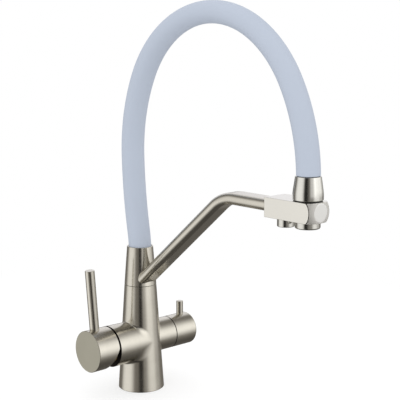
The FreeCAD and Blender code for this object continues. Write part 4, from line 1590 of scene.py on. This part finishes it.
# ---------------------------------------------------------------- studio


def sine(degrees: float) -> float:
    """The sine of an angle, which stops short of straight up and down."""
    return math.sin(math.radians(max(-89.0, min(89.0, degrees))))


def cosine(degrees: float) -> float:
    """The cosine of an angle in degrees."""
    return math.cos(math.radians(degrees))


def dyed(tree: Tree, level: Socket, tint: str) -> Socket:
    """Adds light of some level and tint and returns it."""
    return vector_calc(tree, "SCALE", {0: linear(tint)[:3], "Scale": level})[0]


@dataclass(frozen=True)
class Panel:
    """A lit side of the white tent as metal sees it, in degrees: bearing from the camera, spread and height.

    It is fully lit from low to high, fades upwards over rise and downwards over dip. Its cloth has a tint.
    """

    bearing: float
    half_width: float
    fade: float
    low: float
    high: float
    rise: float
    level: float
    dip: float = 40.0
    tint: str = WHITE

    def light(self, tree: Tree, flat: Socket, up: Socket, camera_bearing: float) -> Socket:
        """Adds the panel's light.

        Args:
            tree: the world's node tree.
            flat: each direction's bearing, as a level vector of length 1.
            up: the sine of each direction's height.
            camera_bearing: the camera's own bearing.

        Returns:
            The light in each direction.
        """
        angle = math.radians(camera_bearing + self.bearing)
        way = (math.cos(angle), math.sin(angle), 0.0)
        facing = vector_calc(tree, "DOT_PRODUCT", {0: flat, 1: way})["Value"]
        near = remap(tree, facing, (cosine(self.fade), cosine(self.half_width)), (0.0, 1.0), "SMOOTHSTEP")
        over = remap(tree, up, (sine(self.high), sine(self.high + self.rise)), (1.0, 0.0), "SMOOTHSTEP")
        under = remap(tree, up, (sine(self.low - self.dip), sine(self.low)), (0.0, 1.0), "SMOOTHSTEP")
        wide = calc(tree, "MULTIPLY", near, self.level)
        tall = calc(tree, "MULTIPLY", over, under)
        return dyed(tree, calc(tree, "MULTIPLY", wide, tall), self.tint)


@dataclass
class Studio:
    """The camera, the floor, the lamps and the white tent with its dark gaps that the metal reflects.

    Lengths here are in metres. Lamps are given by name, place, width and power.
    """

    place: Triple = (0.891974, -0.713872, 0.407217)
    forward: Triple = (-0.73227, 0.66069, -0.16511)
    right: Triple = (0.66989, 0.74246, 0.0)
    down: Triple = (0.12259, -0.11060, -0.98628)
    lens: float = 93.10
    camera_bearing: float = -42.1
    cloth_light: float = 0.95
    gap_level: float = 0.205
    gap_tint: str = "#FFF8EF"
    gap_reach: tuple[float, float] = (-58.0, -30.0)
    gap_under: float = 0.42
    roof_reach: tuple[float, float] = (66.0, 84.0)
    roof_level: float = 0.5
    card_out: float = 0.53
    card_half: float = 0.20
    card_core: float = 0.015
    card_dark: float = 0.9
    card_foot: float = -1.6
    card_top: float = 3.0
    floor_r: float = 3.0
    floor_steps: int = 64
    floor_lift: float = 0.62
    paper: str = "#E6E6E6"
    shadow: str = "#B2B2B2"
    shadow_reach: tuple[float, float] = (0.15, 0.6)
    lamp_aim: Triple = (0.1, 0.0, 0.2)
    lamp_rows: Sequence[tuple[str, Triple, float, float]] = (
        ("key_lamp", (0.9, -1.3, 1.6), 1.6, 3.5),
        ("fill_lamp", (-1.4, 0.6, 1.4), 1.8, 2.5),
    )
    panels: tuple[Panel, ...] = (
        Panel(33.0, 8.0, 31.0, -2.0, 20.0, 20.0, 0.50, 11.0),
        Panel(60.0, 2.0, 34.0, -12.0, 12.0, 30.0, 0.38, 30.0),
        Panel(82.0, 8.0, 50.0, 10.0, 26.0, 40.0, 0.76, 43.0),
        Panel(128.0, 25.0, 52.0, 0.0, 20.0, 20.0, 0.34, 12.0),
        Panel(-74.0, 4.0, 47.0, -26.0, 15.0, 50.0, 0.80, 42.0),
        Panel(180.0, 12.0, 40.0, 6.0, 38.0, 14.0, 0.80, 5.0, "#F6F7FF"),
    )

    def camera(self) -> None:
        """Sets the camera where the photograph was taken from."""
        data = bpy.data.cameras.new("camera")
        data.lens = self.lens
        data.sensor_width = 36.0
        data.clip_start = 0.01
        made = new_object("camera", data)
        turn = Matrix((self.right, [-d for d in self.down], [-f for f in self.forward])).transposed()
        made.matrix_world = Matrix.Translation(self.place) @ turn.to_4x4()
        bpy.context.scene.camera = made

    def tent(self, tree: Tree) -> Socket:
        """Adds the tent's panels and gaps to the world's tree.

        Args:
            tree: the world's node tree.

        Returns:
            The light in each direction.
        """
        way = add_node(tree, "ShaderNodeTexCoord").outputs["Generated"]
        x, y, up = add_node(tree, "ShaderNodeSeparateXYZ", {0: way}).outputs
        level = add_node(tree, "ShaderNodeCombineXYZ", {0: x, 1: y}).outputs[0]
        flat = vector_calc(tree, "NORMALIZE", {0: level})[0]
        gaps = remap(tree, up, [sine(a) for a in self.gap_reach], (self.gap_under, 1.0), "SMOOTHSTEP")
        roof = remap(tree, up, [sine(a) for a in self.roof_reach], (0.0, self.roof_level), "SMOOTHSTEP")
        total = dyed(tree, calc(tree, "MULTIPLY", gaps, self.gap_level), self.gap_tint)
        for panel in self.panels:
            light = panel.light(tree, flat, up, self.camera_bearing)
            total = vector_calc(tree, "ADD", {0: total, 1: light})[0]
        return vector_calc(tree, "ADD", {0: total, 1: dyed(tree, roof, WHITE)})[0]

    def world(self) -> None:
        """Makes the world.

        It is white to the eye, even to cloth-like surfaces, and the tent to metal and clear things.
        """
        world = bpy.data.worlds.new("studio")
        bpy.context.scene.world = world
        world.use_nodes = True
        tree = world.node_tree
        tree.nodes.clear()
        rays = add_node(tree, "ShaderNodeLightPath").outputs
        cloth = (*[self.cloth_light] * 3, 1.0)
        plain = mix_colours(tree, rays["Is Camera Ray"], cloth, (1.0, 1.0, 1.0, 1.0))
        mirrored = calc(tree, "MAXIMUM", rays["Is Glossy Ray"], rays["Is Transmission Ray"])
        shown = mix_colours(tree, mirrored, plain, self.tent(tree))
        light = add_node(tree, "ShaderNodeBackground", {"Color": shown, "Strength": 1.0})
        add_node(tree, "ShaderNodeOutputWorld", {"Surface": light.outputs[0]})

    def floor(self) -> None:
        """Lays the white floor, which keeps a soft shadow round the foot and runs out to plain white."""
        made, tree = blank_material("white_paper_floor")
        away = vector_calc(tree, "LENGTH", {0: coordinates(tree)})["Value"]
        far = remap(tree, away, self.shadow_reach, (0.0, 1.0))
        shaded = {0: matt(tree, self.shadow), 1: glow(tree, WHITE, self.floor_lift)}
        lit = add_node(tree, "ShaderNodeAddShader", shaded).outputs[0]
        shown = mix_shaders(tree, far, lit, glow(tree, WHITE, 1.0))
        seen = add_node(tree, "ShaderNodeLightPath").outputs["Is Camera Ray"]
        both = mix_shaders(tree, seen, matt(tree, self.paper), shown)
        add_node(tree, "ShaderNodeOutputMaterial", {"Surface": both})
        count = self.floor_steps
        ring = [(self.floor_r * math.cos(a), self.floor_r * math.sin(a), 0.0) for a in turns(count)]
        floor = new_object("floor", new_mesh("floor", ring, [tuple(range(count))], made))
        floor.visible_glossy = False

    def card(self) -> None:
        """Stands a black card with soft edges before the tap, which only metal sees."""
        made, tree = blank_material("black_card")
        inputs = {0: coordinates(tree), 1: (*self.right[:2], 0.0)}
        beside = vector_calc(tree, "DOT_PRODUCT", inputs)["Value"]
        centre = unit((*self.place[:2], 0.0)) * self.card_out
        off = calc(tree, "ABSOLUTE", calc(tree, "SUBTRACT", beside, float(np.dot(centre, self.right))))
        dark = remap(tree, off, (self.card_half, self.card_core), (0.0, self.card_dark), "SMOOTHERSTEP")
        clear = add_node(tree, "ShaderNodeBsdfTransparent").outputs[0]
        both = mix_shaders(tree, dark, clear, glow(tree, "#000000", 0.0))
        add_node(tree, "ShaderNodeOutputMaterial", {"Surface": both})
        low, top = self.card_foot, self.card_top
        corners = [
            tuple(map(float, centre + np.array(self.right) * side * self.card_half + Z * height))
            for side, height in ((-1, low), (1, low), (1, top), (-1, top))
        ]
        card = new_object("black_card", new_mesh("black_card", corners, [(0, 1, 2, 3)], made))
        for ray in ("camera", "diffuse", "shadow", "transmission"):
            setattr(card, "visible_" + ray, False)

    def lamps(self) -> None:
        """Hangs two large soft lamps, which metal doesn't mirror."""
        for name, place, size, power in self.lamp_rows:
            data = bpy.data.lights.new(name, "AREA")
            data.shape = "DISK"
            data.size = size
            data.energy = power
            lamp = new_object(name, data)
            aim = Vector(self.lamp_aim) - Vector(place)
            lamp.matrix_world = Matrix.Translation(place) @ aim.to_track_quat("-Z", "Y").to_matrix().to_4x4()
            lamp.visible_glossy = False

    def build(self) -> None:
        """Sets up the camera, the world, the floor, the card and the lamps."""
        bpy.context.scene.view_settings.view_transform = "Standard"
        self.camera()
        self.world()
        self.floor()
        self.card()
        self.lamps()


def main() -> None:
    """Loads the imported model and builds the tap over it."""
    logging.basicConfig(level=logging.INFO, format="%(message)s")
    for left in list(bpy.data.objects):
        bpy.data.objects.remove(left)
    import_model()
    Studio().build()
    for part in (Column(), MixerLever(), FilteredValve(), Spout(), SprayHead()):
        part.build()
        LOG.info("%s is built", type(part).__name__)


if __name__ == "__main__":
    main()
